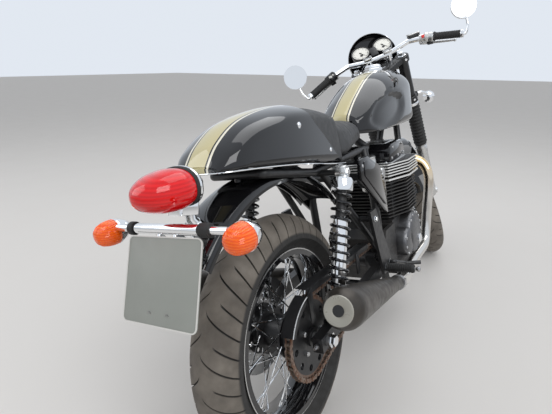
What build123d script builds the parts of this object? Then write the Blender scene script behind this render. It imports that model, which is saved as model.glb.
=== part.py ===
"""Cafe racer motorcycle, parked on its side stand with the bars on the left stop.

The machine is drawn upright: +X is its right side, +Y its front, +Z up, with the origin on
the ground under the rear axle. The last section leans it onto the stand. Sizes are in mm.
"""
import os
from math import asin, atan2, cos, degrees, hypot, pi, radians, sin, sqrt, tan

from build123d import *

# Driving dimensions of the chassis
WHEELBASE = 1490
RAKE = 27
TRAIL = 97
LEAN = 10.9
STEERING_STOP = 30.8
SIDES = (1, -1)

# Fits and seats
RUNNING_FIT = 0.05
SEAT = 0.3

# Rear wheel: 17 inch rim, 130 mm tyre
REAR_RADIUS = 320
REAR_CROWN = 65.5
REAR_RIM_EDGE = 228
REAR_RIM_HALF = 47
REAR_AXLE_Z = REAR_RADIUS

# Front wheel: 18 inch rim, 100 mm tyre
FRONT_RADIUS = 318
FRONT_CROWN = 50
FRONT_RIM_EDGE = 241
FRONT_RIM_HALF = 38
FRONT_AXLE_Z = FRONT_RADIUS

RIM_LIP = 4
BEAD_DROP = 12
WELL_DEPTH = 26
SPOKES_PER_SIDE = 20
SPOKE_RADIUS = 2.0
AXLE_RADIUS = 9

# Fork, measured along and across the steering axis from where it meets the ground
FORK_SPREAD = 103
FORK_TUBE_RADIUS = 20.5
SLIDER_RADIUS = 27
GAITER_RADIUS = 33
STEM_RADIUS = 14
LOWER_YOKE = (898, 926)
HEAD_TUBE = (932, 1096)
UPPER_YOKE = (1102, 1126)
GAITER_SPAN = (646, 894)
HEAD_TUBE_RADIUS = 27

# Final drive: five-eighths inch chain on the right
CHAIN_PITCH = 15.875
CHAIN_PLANE = 90
REAR_TEETH = 43
FRONT_TEETH = 18
CHAIN_LINKS = 106
OUTPUT_SHAFT = (595, 345)

SWINGARM_PIVOT = (503, 336)
STAND_THREAD = (90, 324)
STAND_THREAD_RADIUS = 4
STAND_THREAD_DEPTH = 16
SHOCK_X = 150
SHOCK_TOP = (186, 715)
SHOCK_FOOT = (52, 374)

STAND_PIVOT = Vector(-146, 640, 182)
STAND_FOLDED = (-0.10, -1, 0.02)
STAND_PIN = 7

# Where the row's origin lies in the parked machine
ORIGIN_X = -178.1
ORIGIN_Y = 694.6

# Places that several pieces share
CRANKCASE_TOP = 430
CRANKCASE_FOOT = 215
TANK_TUNNEL = 46
FENDER_RADIUS = 436
BARREL_TOP = 578
HEAD_TOP = 642
REAR_BAR_Y = -309
REAR_BAR_Z = 712
INDICATOR_X = 178
INDICATOR_RADIUS = 28

rear_pitch_radius = CHAIN_PITCH / (2 * sin(pi / REAR_TEETH))
front_pitch_radius = CHAIN_PITCH / (2 * sin(pi / FRONT_TEETH))

ACROSS = Plane.YZ
rear_axle_point = Vector(0, 0, REAR_AXLE_Z)
front_axle_point = Vector(0, WHEELBASE, FRONT_AXLE_Z)
steer_ground = Vector(0, WHEELBASE + TRAIL, 0)
steer_up = Vector(0, -sin(radians(RAKE)), cos(radians(RAKE)))
steer_ahead = Vector(0, cos(radians(RAKE)), sin(radians(RAKE)))
steering_axis = Axis(steer_ground, steer_up)
fork_offset = (front_axle_point - steer_ground).dot(steer_ahead)
axle_along = (front_axle_point - steer_ground).dot(steer_up)


def fork_point(x, ahead, along):
    """A point given across, ahead of and along the steering axis."""
    return steer_ground + Vector(x, 0, 0) + steer_ahead * ahead + steer_up * along


def fork_plane(x, ahead, along):
    """A plane square to the steering axis at such a point."""
    return Plane(fork_point(x, ahead, along), x_dir=(1, 0, 0), z_dir=steer_up)


def rod(start, end, radius, end_radius=None):
    """Adds a round bar between two points, tapered when it has an end radius."""
    start, end = Vector(start), Vector(end)
    run = end - start
    with BuildSketch(Plane(start, z_dir=run)) as foot:
        Circle(radius)
    if end_radius is None:
        extrude(foot.sketch, amount=run.length)
    else:
        with BuildSketch(Plane(end, z_dir=run)) as tip:
            Circle(end_radius)
        loft([foot.sketch.face(), tip.sketch.face()])


def bent_tube(points, bends, radius):
    """Adds a round tube along straight runs joined by tangent arcs."""
    with BuildLine() as path:
        FilletPolyline(*points, radius=bends)
    wire = path.wire()
    with BuildSketch(Plane(wire @ 0, z_dir=wire % 0)) as section:
        Circle(radius)
    sweep(section.sketch, path=wire, transition=Transition.ROUND)


def sleeve(start, end, radius, bore):
    """Adds a straight round sleeve with a bore between two points."""
    start, end = Vector(start), Vector(end)
    with BuildSketch(Plane(start, z_dir=end - start)) as foot:
        Circle(radius)
        Circle(bore, mode=Mode.SUBTRACT)
    extrude(foot.sketch, amount=(end - start).length)


def block(low, high, mode=Mode.ADD):
    """Adds a box between two corners."""
    centre = (Vector(low) + Vector(high)) * 0.5
    size = Vector(high) - Vector(low)
    with Locations(centre):
        Box(size.X, size.Y, size.Z, mode=mode)


def side_plate(outline, low_x, high_x, mode=Mode.ADD):
    """Adds a plate cut to an outline of (y, z) points, between two x values."""
    with BuildSketch(ACROSS.offset(low_x)) as face:
        with BuildLine():
            Polyline(*outline, close=True)
        make_face()
    extrude(face.sketch, amount=high_x - low_x, mode=mode)


def turned(profile, centre, start=0, arc=360, mode=Mode.ADD):
    """Turns a closed profile of (x, radius) points about the axle line through a centre."""
    plane = Plane(centre, x_dir=(1, 0, 0), z_dir=(0, -1, 0)).rotated((start, 0, 0))
    with BuildSketch(plane) as section:
        with BuildLine():
            Polyline(*profile, close=True)
        make_face()
    revolve(section.sketch, axis=Axis(centre, (1, 0, 0)), revolution_arc=arc, mode=mode)


def tyre(centre, radius, crown, rim_edge, rim_half):
    """Adds a tyre: round crown, straight sidewalls and beads that sit inside the rim's lips."""
    hub = radius - crown
    bead = rim_half - RIM_LIP
    seat = rim_edge - BEAD_DROP
    plane = Plane(centre, x_dir=(1, 0, 0), z_dir=(0, -1, 0))
    with BuildSketch(plane) as section:
        with BuildLine():
            Line((bead, seat), (bead, rim_edge + 4))
            Line((bead, rim_edge + 4), (crown, hub))
            ThreePointArc((crown, hub), (0, radius), (-crown, hub))
            Line((-crown, hub), (-bead, rim_edge + 4))
            Line((-bead, rim_edge + 4), (-bead, seat))
            Line((-bead, seat), (bead, seat))
        make_face()
    revolve(section.sketch, axis=Axis(centre, (1, 0, 0)), revolution_arc=360)


def spindle(start, end, profile):
    """Turns a closed profile of (radius, distance) points about the line from start to end."""
    start, end = Vector(start), Vector(end)
    along = (end - start).normalized()
    across = Vector(1, 0, 0) - along * along.X
    plane = Plane(start, x_dir=across, z_dir=across.cross(along))
    with BuildSketch(plane) as section:
        with BuildLine():
            Polyline(*profile, close=True)
        make_face()
    revolve(section.sketch, axis=Axis(start, along), revolution_arc=360)


def ribbed(length, count, groove, ridge, bore):
    """A profile for spindle: a bore and so many pointed ribs along the length."""
    pitch = length / count
    profile = [(bore, 0)]
    for number in range(count):
        profile += [(groove, number * pitch), (ridge, (number + 0.5) * pitch)]
    return profile + [(groove, length), (bore, length)]


def rim(centre, edge, half):
    """Adds a drop-centre rim with two upright lips."""
    seat = edge - BEAD_DROP
    well = edge - WELL_DEPTH
    skin = 5
    turned(
        [(half, edge), (half - RIM_LIP, edge), (half - RIM_LIP, seat),
         (half * 0.45, seat), (half * 0.35, well), (-half * 0.35, well),
         (-half * 0.45, seat), (-half + RIM_LIP, seat), (-half + RIM_LIP, edge),
         (-half, edge), (-half, seat - skin), (-half * 0.4, well - skin),
         (half * 0.4, well - skin), (half, seat - skin)],
        centre,
    )


def spokes(centre, flange_x, flange_radius, rim_radius):
    """Adds crossed spokes; the two sets of a side start on the flange's two faces."""
    step = 360 / SPOKES_PER_SIDE
    lead = 1.9 * step
    for side in SIDES:
        for face, swing in ((4, 1), (-4, -1)):
            for number in range(SPOKES_PER_SIDE // 2):
                angle = radians((2 * number + (side < 0)) * step + swing * step / 4)
                rim_angle = angle + radians(swing * lead)
                start = Vector(side * flange_x + face, flange_radius * cos(angle),
                               flange_radius * sin(angle))
                end = Vector(side * 9 + face * 0.9, rim_radius * cos(rim_angle),
                             rim_radius * sin(rim_angle))
                with BuildSketch(Plane(centre + start, z_dir=end - start)) as section:
                    RegularPolygon(SPOKE_RADIUS, 6)
                extrude(section.sketch, amount=(end - start).length)


def body_section(y, low_half, low_z, high_half, high_z, top_z):
    """A bodywork section across the machine: flat foot, straight sides, arched crown."""
    with BuildSketch(Plane.XZ.offset(-y)) as section:
        with BuildLine():
            Line((-low_half, low_z), (low_half, low_z))
            Line((low_half, low_z), (high_half, high_z))
            ThreePointArc((high_half, high_z), (0, top_z), (-high_half, high_z))
            Line((-high_half, high_z), (-low_half, low_z))
        make_face()
    return section.sketch.face()


# Parking: the lean, and the slight pitch that puts both tyres on the ground
def parked_height(axis_rise, radius, crown):
    """Height of a resting wheel's centre when its axis rises by this much per unit."""
    return (radius - crown) * sqrt(1 - axis_rise ** 2) + crown


def leaned(vector, pitch):
    """Turns a direction or a point by the lean, then by the pitch."""
    return vector.rotate(Axis.Y, -LEAN).rotate(Axis.X, pitch)


steer_spin = Axis((0, 0, 0), steer_up)
front_centre = steer_ground + (front_axle_point - steer_ground).rotate(steer_spin, STEERING_STOP)
front_spin = Vector(1, 0, 0).rotate(steer_spin, STEERING_STOP)
pitch = 0.0
for _ in range(4):
    rear = leaned(rear_axle_point, pitch)
    front = leaned(front_centre, pitch)
    rear_lift = parked_height(leaned(Vector(1, 0, 0), pitch).Z, REAR_RADIUS, REAR_CROWN) - rear.Z
    front_lift = parked_height(leaned(front_spin, pitch).Z, FRONT_RADIUS, FRONT_CROWN) - front.Z
    pitch += degrees((front_lift - rear_lift) / (front.Y - rear.Y))

ground_normal = Vector(0, 0, 1).rotate(Axis.X, -pitch).rotate(Axis.Y, LEAN)
ground_point = Vector(0, 0, -rear_lift).rotate(Axis.X, -pitch).rotate(Axis.Y, LEAN)


def on_ground(x, y):
    """The point of the ground below or above a place in the upright machine's plan."""
    z = ground_point.Z - (ground_normal.X * (x - ground_point.X)
                          + ground_normal.Y * (y - ground_point.Y)) / ground_normal.Z
    return Vector(x, y, z)


def parked(shape):
    """Leans a piece onto the stand and moves it to the resting place."""
    shape = shape.rotate(Axis.Y, -LEAN).rotate(Axis.X, pitch)
    return shape.translate((-ORIGIN_X, -ORIGIN_Y, rear_lift))


def steered(shape):
    """Turns a piece of the steering to its left stop."""
    return shape.rotate(steering_axis, STEERING_STOP)


# Side stand: it swings about an axis square to its lowered and its folded direction
STAND_FOOT = on_ground(-268, 700)
stand_drop = STAND_FOOT - STAND_PIVOT
stand_axis = stand_drop.cross(Vector(*STAND_FOLDED)).normalized()
stand_lug = STAND_PIVOT - stand_axis * 30

# Frame: head tube, backbone, twin cradle loops and the rail under the seat
head_low = fork_point(0, 0, HEAD_TUBE[0])
head_high = fork_point(0, 0, HEAD_TUBE[1])
CRADLE_RADIUS = 14
RAIL_RADIUS = 11
POST_RADIUS = 8
FENDER_POST_Y = -72
TANK_PEG = (800, 829)
CRADLE = (
    # x, y, z of the right loop, from the head tube down and back to the seat rail
    (20, 1144, 858), (28, 1093, 803), (60, 1016, 560), (88, 976, 250), (112, 880, 192),
    (112, 560, 192),
    (118, 506, 300), (118, 486, 560), (86, 520, 728),
)
RAIL = ((80, 560, 728), (78, 300, 726), (78, 156, 724), (76, FENDER_POST_Y, 768),
        (-76, FENDER_POST_Y, 768),
        (-78, 156, 724), (-78, 300, 726), (-80, 560, 728))

with BuildPart() as frame:
    rod(head_low, head_high, HEAD_TUBE_RADIUS)
    rod(fork_point(0, 0, 1010), (0, 590, 784), 21)
    for side in SIDES:
        loop = [(side * x, y, z) for x, y, z in CRADLE]
        bent_tube(loop, 50, CRADLE_RADIUS)
        rod((0, 600, 780), (side * 84, 548, 730), CRADLE_RADIUS)
        rod((side * 78, *SHOCK_TOP), (side * (SHOCK_X + 20), *SHOCK_TOP), 8)
        rod((side * 112, 470, 400), (side * 80, 200, 716), RAIL_RADIUS)
    bent_tube(RAIL, 12, RAIL_RADIUS)
    rod((-118, 480, 640), (118, 480, 640), RAIL_RADIUS)
    rod((-112, 600, 192), (112, 600, 192), RAIL_RADIUS)
    for side in SIDES:
        rod((side * 100, 760, 192), (side * 100, 760, CRANKCASE_FOOT - SEAT), POST_RADIUS)
    rod((SEAT - TANK_TUNNEL, *TANK_PEG), (TANK_TUNNEL - SEAT, *TANK_PEG), 9)
    fender_reach = FENDER_RADIUS + SEAT
    fender_post = REAR_AXLE_Z + sqrt(fender_reach ** 2 - (FENDER_POST_Y + POST_RADIUS) ** 2)
    rod((0, FENDER_POST_Y, 768), (0, FENDER_POST_Y, fender_post), POST_RADIUS)
    rod((-112, *SWINGARM_PIVOT), (112, *SWINGARM_PIVOT), 9)
    rod(fork_point(0, 0, 945), (0, 1010, 800), 16)
    rod((-112, 640, 190), stand_lug, 9)
    rod(STAND_PIVOT - stand_axis * 27, STAND_PIVOT - stand_axis * 13, 15)
    rod(STAND_PIVOT - stand_axis * 15, STAND_PIVOT + stand_axis * 15, STAND_PIN)
    with Locations(Location(head_low - steer_up, (RAKE, 0, 0))):
        Cylinder(STEM_RADIUS + RUNNING_FIT, 400, mode=Mode.SUBTRACT)

# Engine
CASE_HALF = 112
with BuildPart() as crankcase:
    side_plate([(665, CRANKCASE_FOOT), (880, CRANKCASE_FOOT), (926, 272), (938, 360),
                (905, CRANKCASE_TOP), (665, CRANKCASE_TOP)], -CASE_HALF, CASE_HALF)
    side_plate([(540, 300), (575, 225), (665, CRANKCASE_FOOT), (665, CRANKCASE_TOP),
                (560, CRANKCASE_TOP), (530, 400)], -95, 70)
    rod((70, *OUTPUT_SHAFT), (98, *OUTPUT_SHAFT), 14)

FIN = 4
BARREL_FINS = 11
BARREL_PITCH = 13
HEAD_FINS = 5
HEAD_PITCH = 10.5
FIN_PLAN = (
    # half width, y, seen from above: narrow behind, widest beside the pushrods
    (112, 672), (162, 770), (162, 895), (122, 930),
)


def fin_plate(low, thickness, spread=0):
    """Adds one cooling fin, cut to the plan that all fins share."""
    right = [(half + spread, y) for half, y in FIN_PLAN]
    left = [(-half, y) for half, y in reversed(right)]
    with BuildSketch(Plane.XY.offset(low)) as plan:
        with BuildLine():
            Polyline(*right, *left, close=True)
        make_face()
    extrude(plan.sketch, amount=thickness)


with BuildPart() as cylinder_barrels:
    block((-108, 700, CRANKCASE_TOP), (108, 890, BARREL_TOP))
    for number in range(BARREL_FINS):
        fin_plate(CRANKCASE_TOP + 8 + number * BARREL_PITCH, FIN, spread=-14)

with BuildPart() as cylinder_head:
    block((-112, 690, BARREL_TOP), (112, 900, HEAD_TOP))
    fin_plate(BARREL_TOP + 4, FIN + 2)
    for number in range(HEAD_FINS):
        fin_plate(BARREL_TOP + 20 + number * HEAD_PITCH, FIN)
    side_plate([(700, HEAD_TOP), (885, HEAD_TOP), (885, 692), (866, 716), (716, 716),
                (700, 692)], -118, 118)

with BuildPart() as engine_covers:
    with BuildSketch(ACROSS.offset(CASE_HALF)) as clutch_outline:
        with Locations((805, 345)):
            Circle(84)
        with Locations((725, 330)):
            Circle(56)
    extrude(amount=46)
    with BuildSketch(ACROSS.offset(-CASE_HALF)) as alternator_outline:
        with Locations((815, 345)):
            Circle(80)
        with Locations((705, 326)):
            Circle(52)
    extrude(amount=-42)

with BuildPart() as sprocket_cover:
    side_plate([(534, 290), (660, 280), (660, 425), (560, 425), (534, 380)], 106, 122)
    side_plate([(653, 290), (665, 290), (665, 420), (653, 420)], 70, 106)

with BuildPart() as front_sprocket:
    with BuildSketch(ACROSS.offset(CHAIN_PLANE - 3.5)) as front_sprocket_face:
        with Locations(OUTPUT_SHAFT):
            Circle(front_pitch_radius - 6.5)
            Circle(14, mode=Mode.SUBTRACT)
    extrude(amount=7)

with BuildPart() as carburettors:
    for side in SIDES:
        rod((side * 62, FIN_PLAN[0][1] - SEAT, 612), (side * 62, 548, 612), 27)
        rod((side * 62, 606, 560), (side * 62, 606, 690), 30)
        rod((side * 80, 606, 625), (side * 118, 606, 625), 24)
    rod((-62, 604, 600), (62, 604, 600), 10)

# Exhaust: one header and one silencer on each side
SILENCER_TIP = Vector(245, -125, 478)
SILENCER_JOINT = Vector(190, 430, 290)
silencer_run = SILENCER_TIP - SILENCER_JOINT
header_end = SILENCER_JOINT - silencer_run * 0.2
HEADER = ((80, FIN_PLAN[-1][1] + SEAT, 608), (80, 1000, 608), (176, 1012, 570), (160, 1005, 400),
          (148, 985, 240), (150, 790, 236), tuple(header_end), tuple(SILENCER_JOINT))
HEADER_BENDS = (35, 55, 90, 70, 90, 90)
HEADER_RADIUS = 20
with BuildPart() as exhaust_headers:
    for side in SIDES:
        path = [(side * x, y, z) for x, y, z in HEADER]
        bent_tube(path, HEADER_BENDS, HEADER_RADIUS)

SILENCER_STATIONS = ((0.0, 22), (0.1, 24), (0.9, 48), (0.94, 48), (1.0, 33))
with BuildPart() as silencers:
    for side in SIDES:
        joint = Vector(side * SILENCER_JOINT.X, SILENCER_JOINT.Y, SILENCER_JOINT.Z)
        run = Vector(side * silencer_run.X, silencer_run.Y, silencer_run.Z)
        for (low_share, low_radius), (high_share, high_radius) in zip(
                SILENCER_STATIONS, SILENCER_STATIONS[1:]):
            rod(joint + run * low_share, joint + run * high_share, low_radius, high_radius)
        rod(joint + run * 0.9, joint + run * 1.02, 13)

# Bodywork
TANK = (
    # y, foot half width, foot z, shoulder half width, shoulder z, crown z
    (545, 60, 780, 62, 815, 846),
    (640, 112, 772, 112, 852, 908),
    (800, 132, 772, 132, 900, 980),
    (980, 134, 776, 130, 930, 1004),
    (1036, 116, 790, 114, 916, 984),
    (1098, 88, 838, 86, 870, 920),
)
with BuildPart() as fuel_tank:
    loft([body_section(*row) for row in TANK])
    side_plate([(500, 700), (500, 816), (990, 920), (1044, 1100), (1200, 1100), (1200, 700)],
               -TANK_TUNNEL, TANK_TUNNEL, Mode.SUBTRACT)
    rod((0, 940, 960), (0, 940, 1010), 30)

with BuildPart() as fuel_cap:
    rod((0, 940, 1010), (0, 940, 1022), 32)

COWL = (
    # y, foot half width, foot z, shoulder half width, shoulder z, crown z
    (-206, 56, 798, 54, 804, 810),
    (-162, 90, 794, 82, 832, 854),
    (-76, 104, 784, 96, 866, 895),
    (60, 114, 764, 104, 882, 914),
    (200, 114, 738, 104, 876, 910),
    (300, 112, 722, 100, 858, 892),
)
with BuildPart() as seat_cowl:
    loft([body_section(*row) for row in COWL])
    block((-90, -140, 690), (90, 310, 800), Mode.SUBTRACT)

SEAT_ROWS = (
    # y, foot half width, foot z, shoulder half width, shoulder z, crown z
    (300 + SEAT, 108, 742, 92, 838, 868),
    (380, 112, 742, 96, 822, 852),
    (540, 84, 760, 74, 812, 838),
)
with BuildPart() as seat:
    loft([body_section(*row) for row in SEAT_ROWS])

SIDE_COVER = [(330, 722), (392, 724), (495, 675), (538, 612), (535, 500), (500, 520),
              (330, 660)]
SIDE_COVER_IN = CRADLE[6][0] + CRADLE_RADIUS + SEAT
SIDE_COVER_OUT = SIDE_COVER_IN + 14
with BuildPart() as side_covers:
    side_plate(SIDE_COVER, SIDE_COVER_IN, SIDE_COVER_OUT)
    side_plate(SIDE_COVER, -SIDE_COVER_OUT, -SIDE_COVER_IN)

with BuildPart() as rear_fender:
    turned([(-62, FENDER_RADIUS - 30), (-62, FENDER_RADIUS), (62, FENDER_RADIUS),
            (62, FENDER_RADIUS - 30), (58, FENDER_RADIUS - 30), (58, FENDER_RADIUS - 4),
            (-58, FENDER_RADIUS - 4), (-58, FENDER_RADIUS - 30)],
           rear_axle_point, start=-48, arc=92)

# Lamps, indicators and plate at the tail
PLATE_TILT = 21.8
plate_normal = Vector(0, -cos(radians(PLATE_TILT)), sin(radians(PLATE_TILT)))
plate_plane = Plane((0, -352, 622), x_dir=(1, 0, 0), z_dir=plate_normal)
LAMP_RIM_Y = -262
LAMP_Z = 784
LENS = (
    # y, width, height of the rounded section
    (-262, 104, 76), (-290, 116, 84), (-330, 102, 72), (-360, 62, 42),
)


def lamp_section(y, width, height):
    """A rounded section of the tail lamp, across the machine."""
    with BuildSketch(Plane.XZ.offset(-y)) as section:
        with Locations((0, LAMP_Z)):
            SlotOverall(width, height)
    return section.sketch.face()


with BuildPart() as tail_lamp:
    loft([lamp_section(LAMP_RIM_Y, 108, 80), lamp_section(LAMP_RIM_Y + 28, 84, 58)])
    lamp_post = Vector(0, -sin(radians(32)), cos(radians(32)))
    rod(rear_axle_point + lamp_post * (FENDER_RADIUS + SEAT), rear_axle_point + lamp_post * 450, 14)
    rod(rear_axle_point + lamp_post * 446, (0, LAMP_RIM_Y + 16, LAMP_Z - 19), 10)

with BuildPart() as tail_lens:
    loft([lamp_section(*row) for row in LENS])

BAR_HALF = INDICATOR_X - INDICATOR_RADIUS
BRACKET_TOP = 84
with BuildPart() as indicator_bar:
    rod((-BAR_HALF, REAR_BAR_Y, REAR_BAR_Z), (BAR_HALF, REAR_BAR_Y, REAR_BAR_Z), 8)
    bar_post = Vector(0, -sin(radians(38.5)), cos(radians(38.5)))
    for side in SIDES:
        foot = rear_axle_point + Vector(side * 40, 0, 0)
        rod(foot + bar_post * (FENDER_RADIUS + SEAT), foot + bar_post * 500, 6)
    with BuildSketch(plate_plane.offset(-4)):
        with Locations((0, BRACKET_TOP - 45)):
            Rectangle(60, 90)
    extrude(amount=4)
    for side in SIDES:
        arm_foot = plate_plane.from_local_coords((side * 22, BRACKET_TOP - 4, -4 - SEAT))
        rod(arm_foot, (side * 22, REAR_BAR_Y, REAR_BAR_Z), 4)

with BuildPart() as rear_indicators:
    for side in SIDES:
        places = [Vector(side * INDICATOR_X, REAR_BAR_Y + ahead, 701)
                  for ahead in (-40, -14, 10, 46)]
        rod(places[0], places[1], 17, INDICATOR_RADIUS)
        rod(places[1], places[2], INDICATOR_RADIUS)
        rod(places[2], places[3], INDICATOR_RADIUS, 12)

with BuildPart() as number_plate:
    with BuildSketch(plate_plane):
        RectangleRounded(200, 170, 12)
    extrude(amount=3)

# Rear suspension and drive
with BuildPart() as swingarm:
    rod((-98, *SWINGARM_PIVOT), (98, *SWINGARM_PIVOT), 24)
    slope = degrees(atan2(SWINGARM_PIVOT[1] - REAR_AXLE_Z, SWINGARM_PIVOT[0]))
    arm_up = Vector(0, -sin(radians(slope)), cos(radians(slope)))
    arm_plane = Plane(rear_axle_point, x_dir=(1, 0, 0), z_dir=arm_up)
    for side in SIDES:
        with BuildSketch(arm_plane.offset(-20)) as plan:
            with BuildLine():
                Polyline((side * 66, 505), (side * 94, 505), (side * 96, 478), (side * 142, 420),
                         (side * 142, -34), (side * 114, -34), (side * 114, 400),
                         (side * 66, 474), close=True)
            make_face()
        extrude(plan.sketch, amount=40)
        rod((side * 114, *SHOCK_FOOT), (side * (SHOCK_X + 20), *SHOCK_FOOT), 8)
        rod((side * 122, SHOCK_FOOT[0], 330), (side * 122, *SHOCK_FOOT), 11)
        with BuildSketch(ACROSS.offset(side * (142 - STAND_THREAD_DEPTH))) as thread:
            with Locations(STAND_THREAD):
                Circle(STAND_THREAD_RADIUS)
        extrude(thread.sketch, amount=side * STAND_THREAD_DEPTH, mode=Mode.SUBTRACT)
    with Locations(Location((0, *SWINGARM_PIVOT), (0, 90, 0))):
        Cylinder(9 + RUNNING_FIT, 400, mode=Mode.SUBTRACT)
    with Locations(Location(rear_axle_point, (0, 90, 0))):
        Cylinder(AXLE_RADIUS + RUNNING_FIT, 400, mode=Mode.SUBTRACT)

with BuildPart() as rear_axle:
    rod((-156, 0, REAR_AXLE_Z), (156, 0, REAR_AXLE_Z), AXLE_RADIUS)
    for side in SIDES:
        rod((side * 142, 0, REAR_AXLE_Z), (side * 152, 0, REAR_AXLE_Z), 15)
        rod((side * 101, 0, REAR_AXLE_Z), (side * 114, 0, REAR_AXLE_Z), 14)

shock_top = Vector(0, *SHOCK_TOP)
shock_foot = Vector(0, *SHOCK_FOOT)
shock_run = shock_top - shock_foot
SPRING_FOOT = 0.13
SPRING_HEAD = 0.86
with BuildPart() as shock_dampers:
    for side in SIDES:
        foot = Vector(side * SHOCK_X, *SHOCK_FOOT)
        rod(foot, foot + shock_run * 0.92, 17)
        rod(foot + shock_run * (SPRING_FOOT - 0.03), foot + shock_run * SPRING_FOOT, 31)
        rod(foot + shock_run * SPRING_HEAD, foot + shock_run * (SPRING_HEAD + 0.09), 30)
        for end in (foot, foot + shock_run):
            rod(end - Vector(14, 0, 0), end + Vector(14, 0, 0), 18)
    for place in (SHOCK_TOP, SHOCK_FOOT):
        with Locations(Location((0, *place), (0, 90, 0))):
            Cylinder(8 + RUNNING_FIT, 500, mode=Mode.SUBTRACT)

SPRING_COILS = 12
with BuildPart() as shock_springs:
    for side in SIDES:
        foot = Vector(side * SHOCK_X, *SHOCK_FOOT)
        spindle(foot + shock_run * SPRING_FOOT, foot + shock_run * SPRING_HEAD,
                ribbed(shock_run.length * (SPRING_HEAD - SPRING_FOOT), SPRING_COILS, 23, 28, 17))

with BuildPart() as chain_guard:
    side_plate([(-20, 464), (400, 433), (400, 427), (-20, 458)], 78, 112)
    guard_foot = REAR_AXLE_Z + 312 * tan(radians(slope)) + 20 / cos(radians(slope)) + SEAT
    side_plate([(290, guard_foot), (312, guard_foot), (312, 436), (290, 438)], 109, 119)

# Foot controls
with BuildPart() as foot_hangers:
    for side in SIDES:
        low, high = sorted((side * 150, side * 160))
        side_plate([(330, 560), (380, 560), (480, 350), (440, 325), (400, 330)], low, high)
        rod((side * 111, 365, 529), (side * 150, 365, 529), 9)

with BuildPart() as foot_pegs:
    for side in SIDES:
        rod((side * 160, 425, 345), (side * 250, 425, 345), 14)
        rod((side * 250, 425, 345), (side * 268, 425, 346), 8)

with BuildPart() as brake_pedal:
    bent_tube([(160, 462, 350), (176, 462, 350), (178, 560, 306), (225, 590, 300)], 8, 7)

with BuildPart() as gear_lever:
    bent_tube([(-160, 462, 350), (-176, 462, 350), (-178, 570, 330), (-225, 590, 330)], 8, 7)

# Steering: yokes, fork, lamp, instruments and bars
with BuildPart() as fork_yokes:
    for low, high in (LOWER_YOKE, UPPER_YOKE):
        with BuildSketch(fork_plane(0, 0, low)):
            with BuildLine():
                Polyline((-FORK_SPREAD - 32, fork_offset - 30), (-28, -24), (28, -24),
                         (FORK_SPREAD + 32, fork_offset - 30), (FORK_SPREAD + 32, fork_offset + 30),
                         (-FORK_SPREAD - 32, fork_offset + 30), close=True)
            make_face()
        extrude(amount=high - low)
    rod(fork_point(0, 0, LOWER_YOKE[0]), fork_point(0, 0, UPPER_YOKE[1] + 10), STEM_RADIUS)
    for side in SIDES:
        leg = fork_point(side * FORK_SPREAD, fork_offset, 800)
        with Locations(Location(leg, (RAKE, 0, 0))):
            Cylinder(FORK_TUBE_RADIUS, 900, mode=Mode.SUBTRACT)

with BuildPart() as fork_legs:
    for side in SIDES:
        x = side * FORK_SPREAD
        rod(fork_point(x, fork_offset, 500), fork_point(x, fork_offset, 1122), FORK_TUBE_RADIUS)
        rod(fork_point(x, fork_offset, axle_along - 26), fork_point(x, fork_offset, 645), SLIDER_RADIUS)
    with Locations(Location(front_axle_point, (0, 90, 0))):
        Cylinder(AXLE_RADIUS + RUNNING_FIT, 400, mode=Mode.SUBTRACT)

GAITER_RIBS = 9
with BuildPart() as fork_gaiters:
    for side in SIDES:
        x = side * FORK_SPREAD
        low, high = GAITER_SPAN
        spindle(fork_point(x, fork_offset, low), fork_point(x, fork_offset, high),
                ribbed(high - low, GAITER_RIBS, GAITER_RADIUS - 6, GAITER_RADIUS, FORK_TUBE_RADIUS))

with BuildPart() as front_axle:
    rod((-136, WHEELBASE, FRONT_AXLE_Z), (136, WHEELBASE, FRONT_AXLE_Z), AXLE_RADIUS)
    for side in SIDES:
        rod((side * 64, WHEELBASE, FRONT_AXLE_Z), (side * 75, WHEELBASE, FRONT_AXLE_Z), 14)

FRONT_FENDER_RADIUS = 341
with BuildPart() as front_fender:
    turned([(-56, FRONT_FENDER_RADIUS - 16), (-56, FRONT_FENDER_RADIUS), (56, FRONT_FENDER_RADIUS),
            (56, FRONT_FENDER_RADIUS - 16), (53, FRONT_FENDER_RADIUS - 16),
            (53, FRONT_FENDER_RADIUS - 3), (-53, FRONT_FENDER_RADIUS - 3),
            (-53, FRONT_FENDER_RADIUS - 16)],
           front_axle_point, start=-35, arc=110)
    for side in SIDES:
        low, high = sorted((side * 52.6, side * 56))
        side_plate([(1330, 632), (1365, 640), (1372, 572), (1342, 572)], low, high)
        rod((side * 54, 1356, 584), (side * (FORK_SPREAD - SLIDER_RADIUS), 1356, 584), 8)

LAMP_CENTRE = Vector(0, 1262, 985)
with BuildPart() as headlamp:
    rod(LAMP_CENTRE + Vector(0, -76, 0), LAMP_CENTRE + Vector(0, -35, 0), 40, 90)
    rod(LAMP_CENTRE + Vector(0, -35, 0), LAMP_CENTRE + Vector(0, 40, 0), 90)
    for side in SIDES:
        ear = fork_point(side * FORK_SPREAD, fork_offset + FORK_TUBE_RADIUS, 1045)
        rod(ear, ear + steer_ahead * 72, 9)
        tip = ear + steer_ahead * 66
        rod(tip - Vector(side * 24, 0, 0), tip + Vector(side * 10, 0, 0), 10)

with BuildPart() as headlamp_lens:
    rod(LAMP_CENTRE + Vector(0, 40, 0), LAMP_CENTRE + Vector(0, 54, 0), 84, 70)

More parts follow.
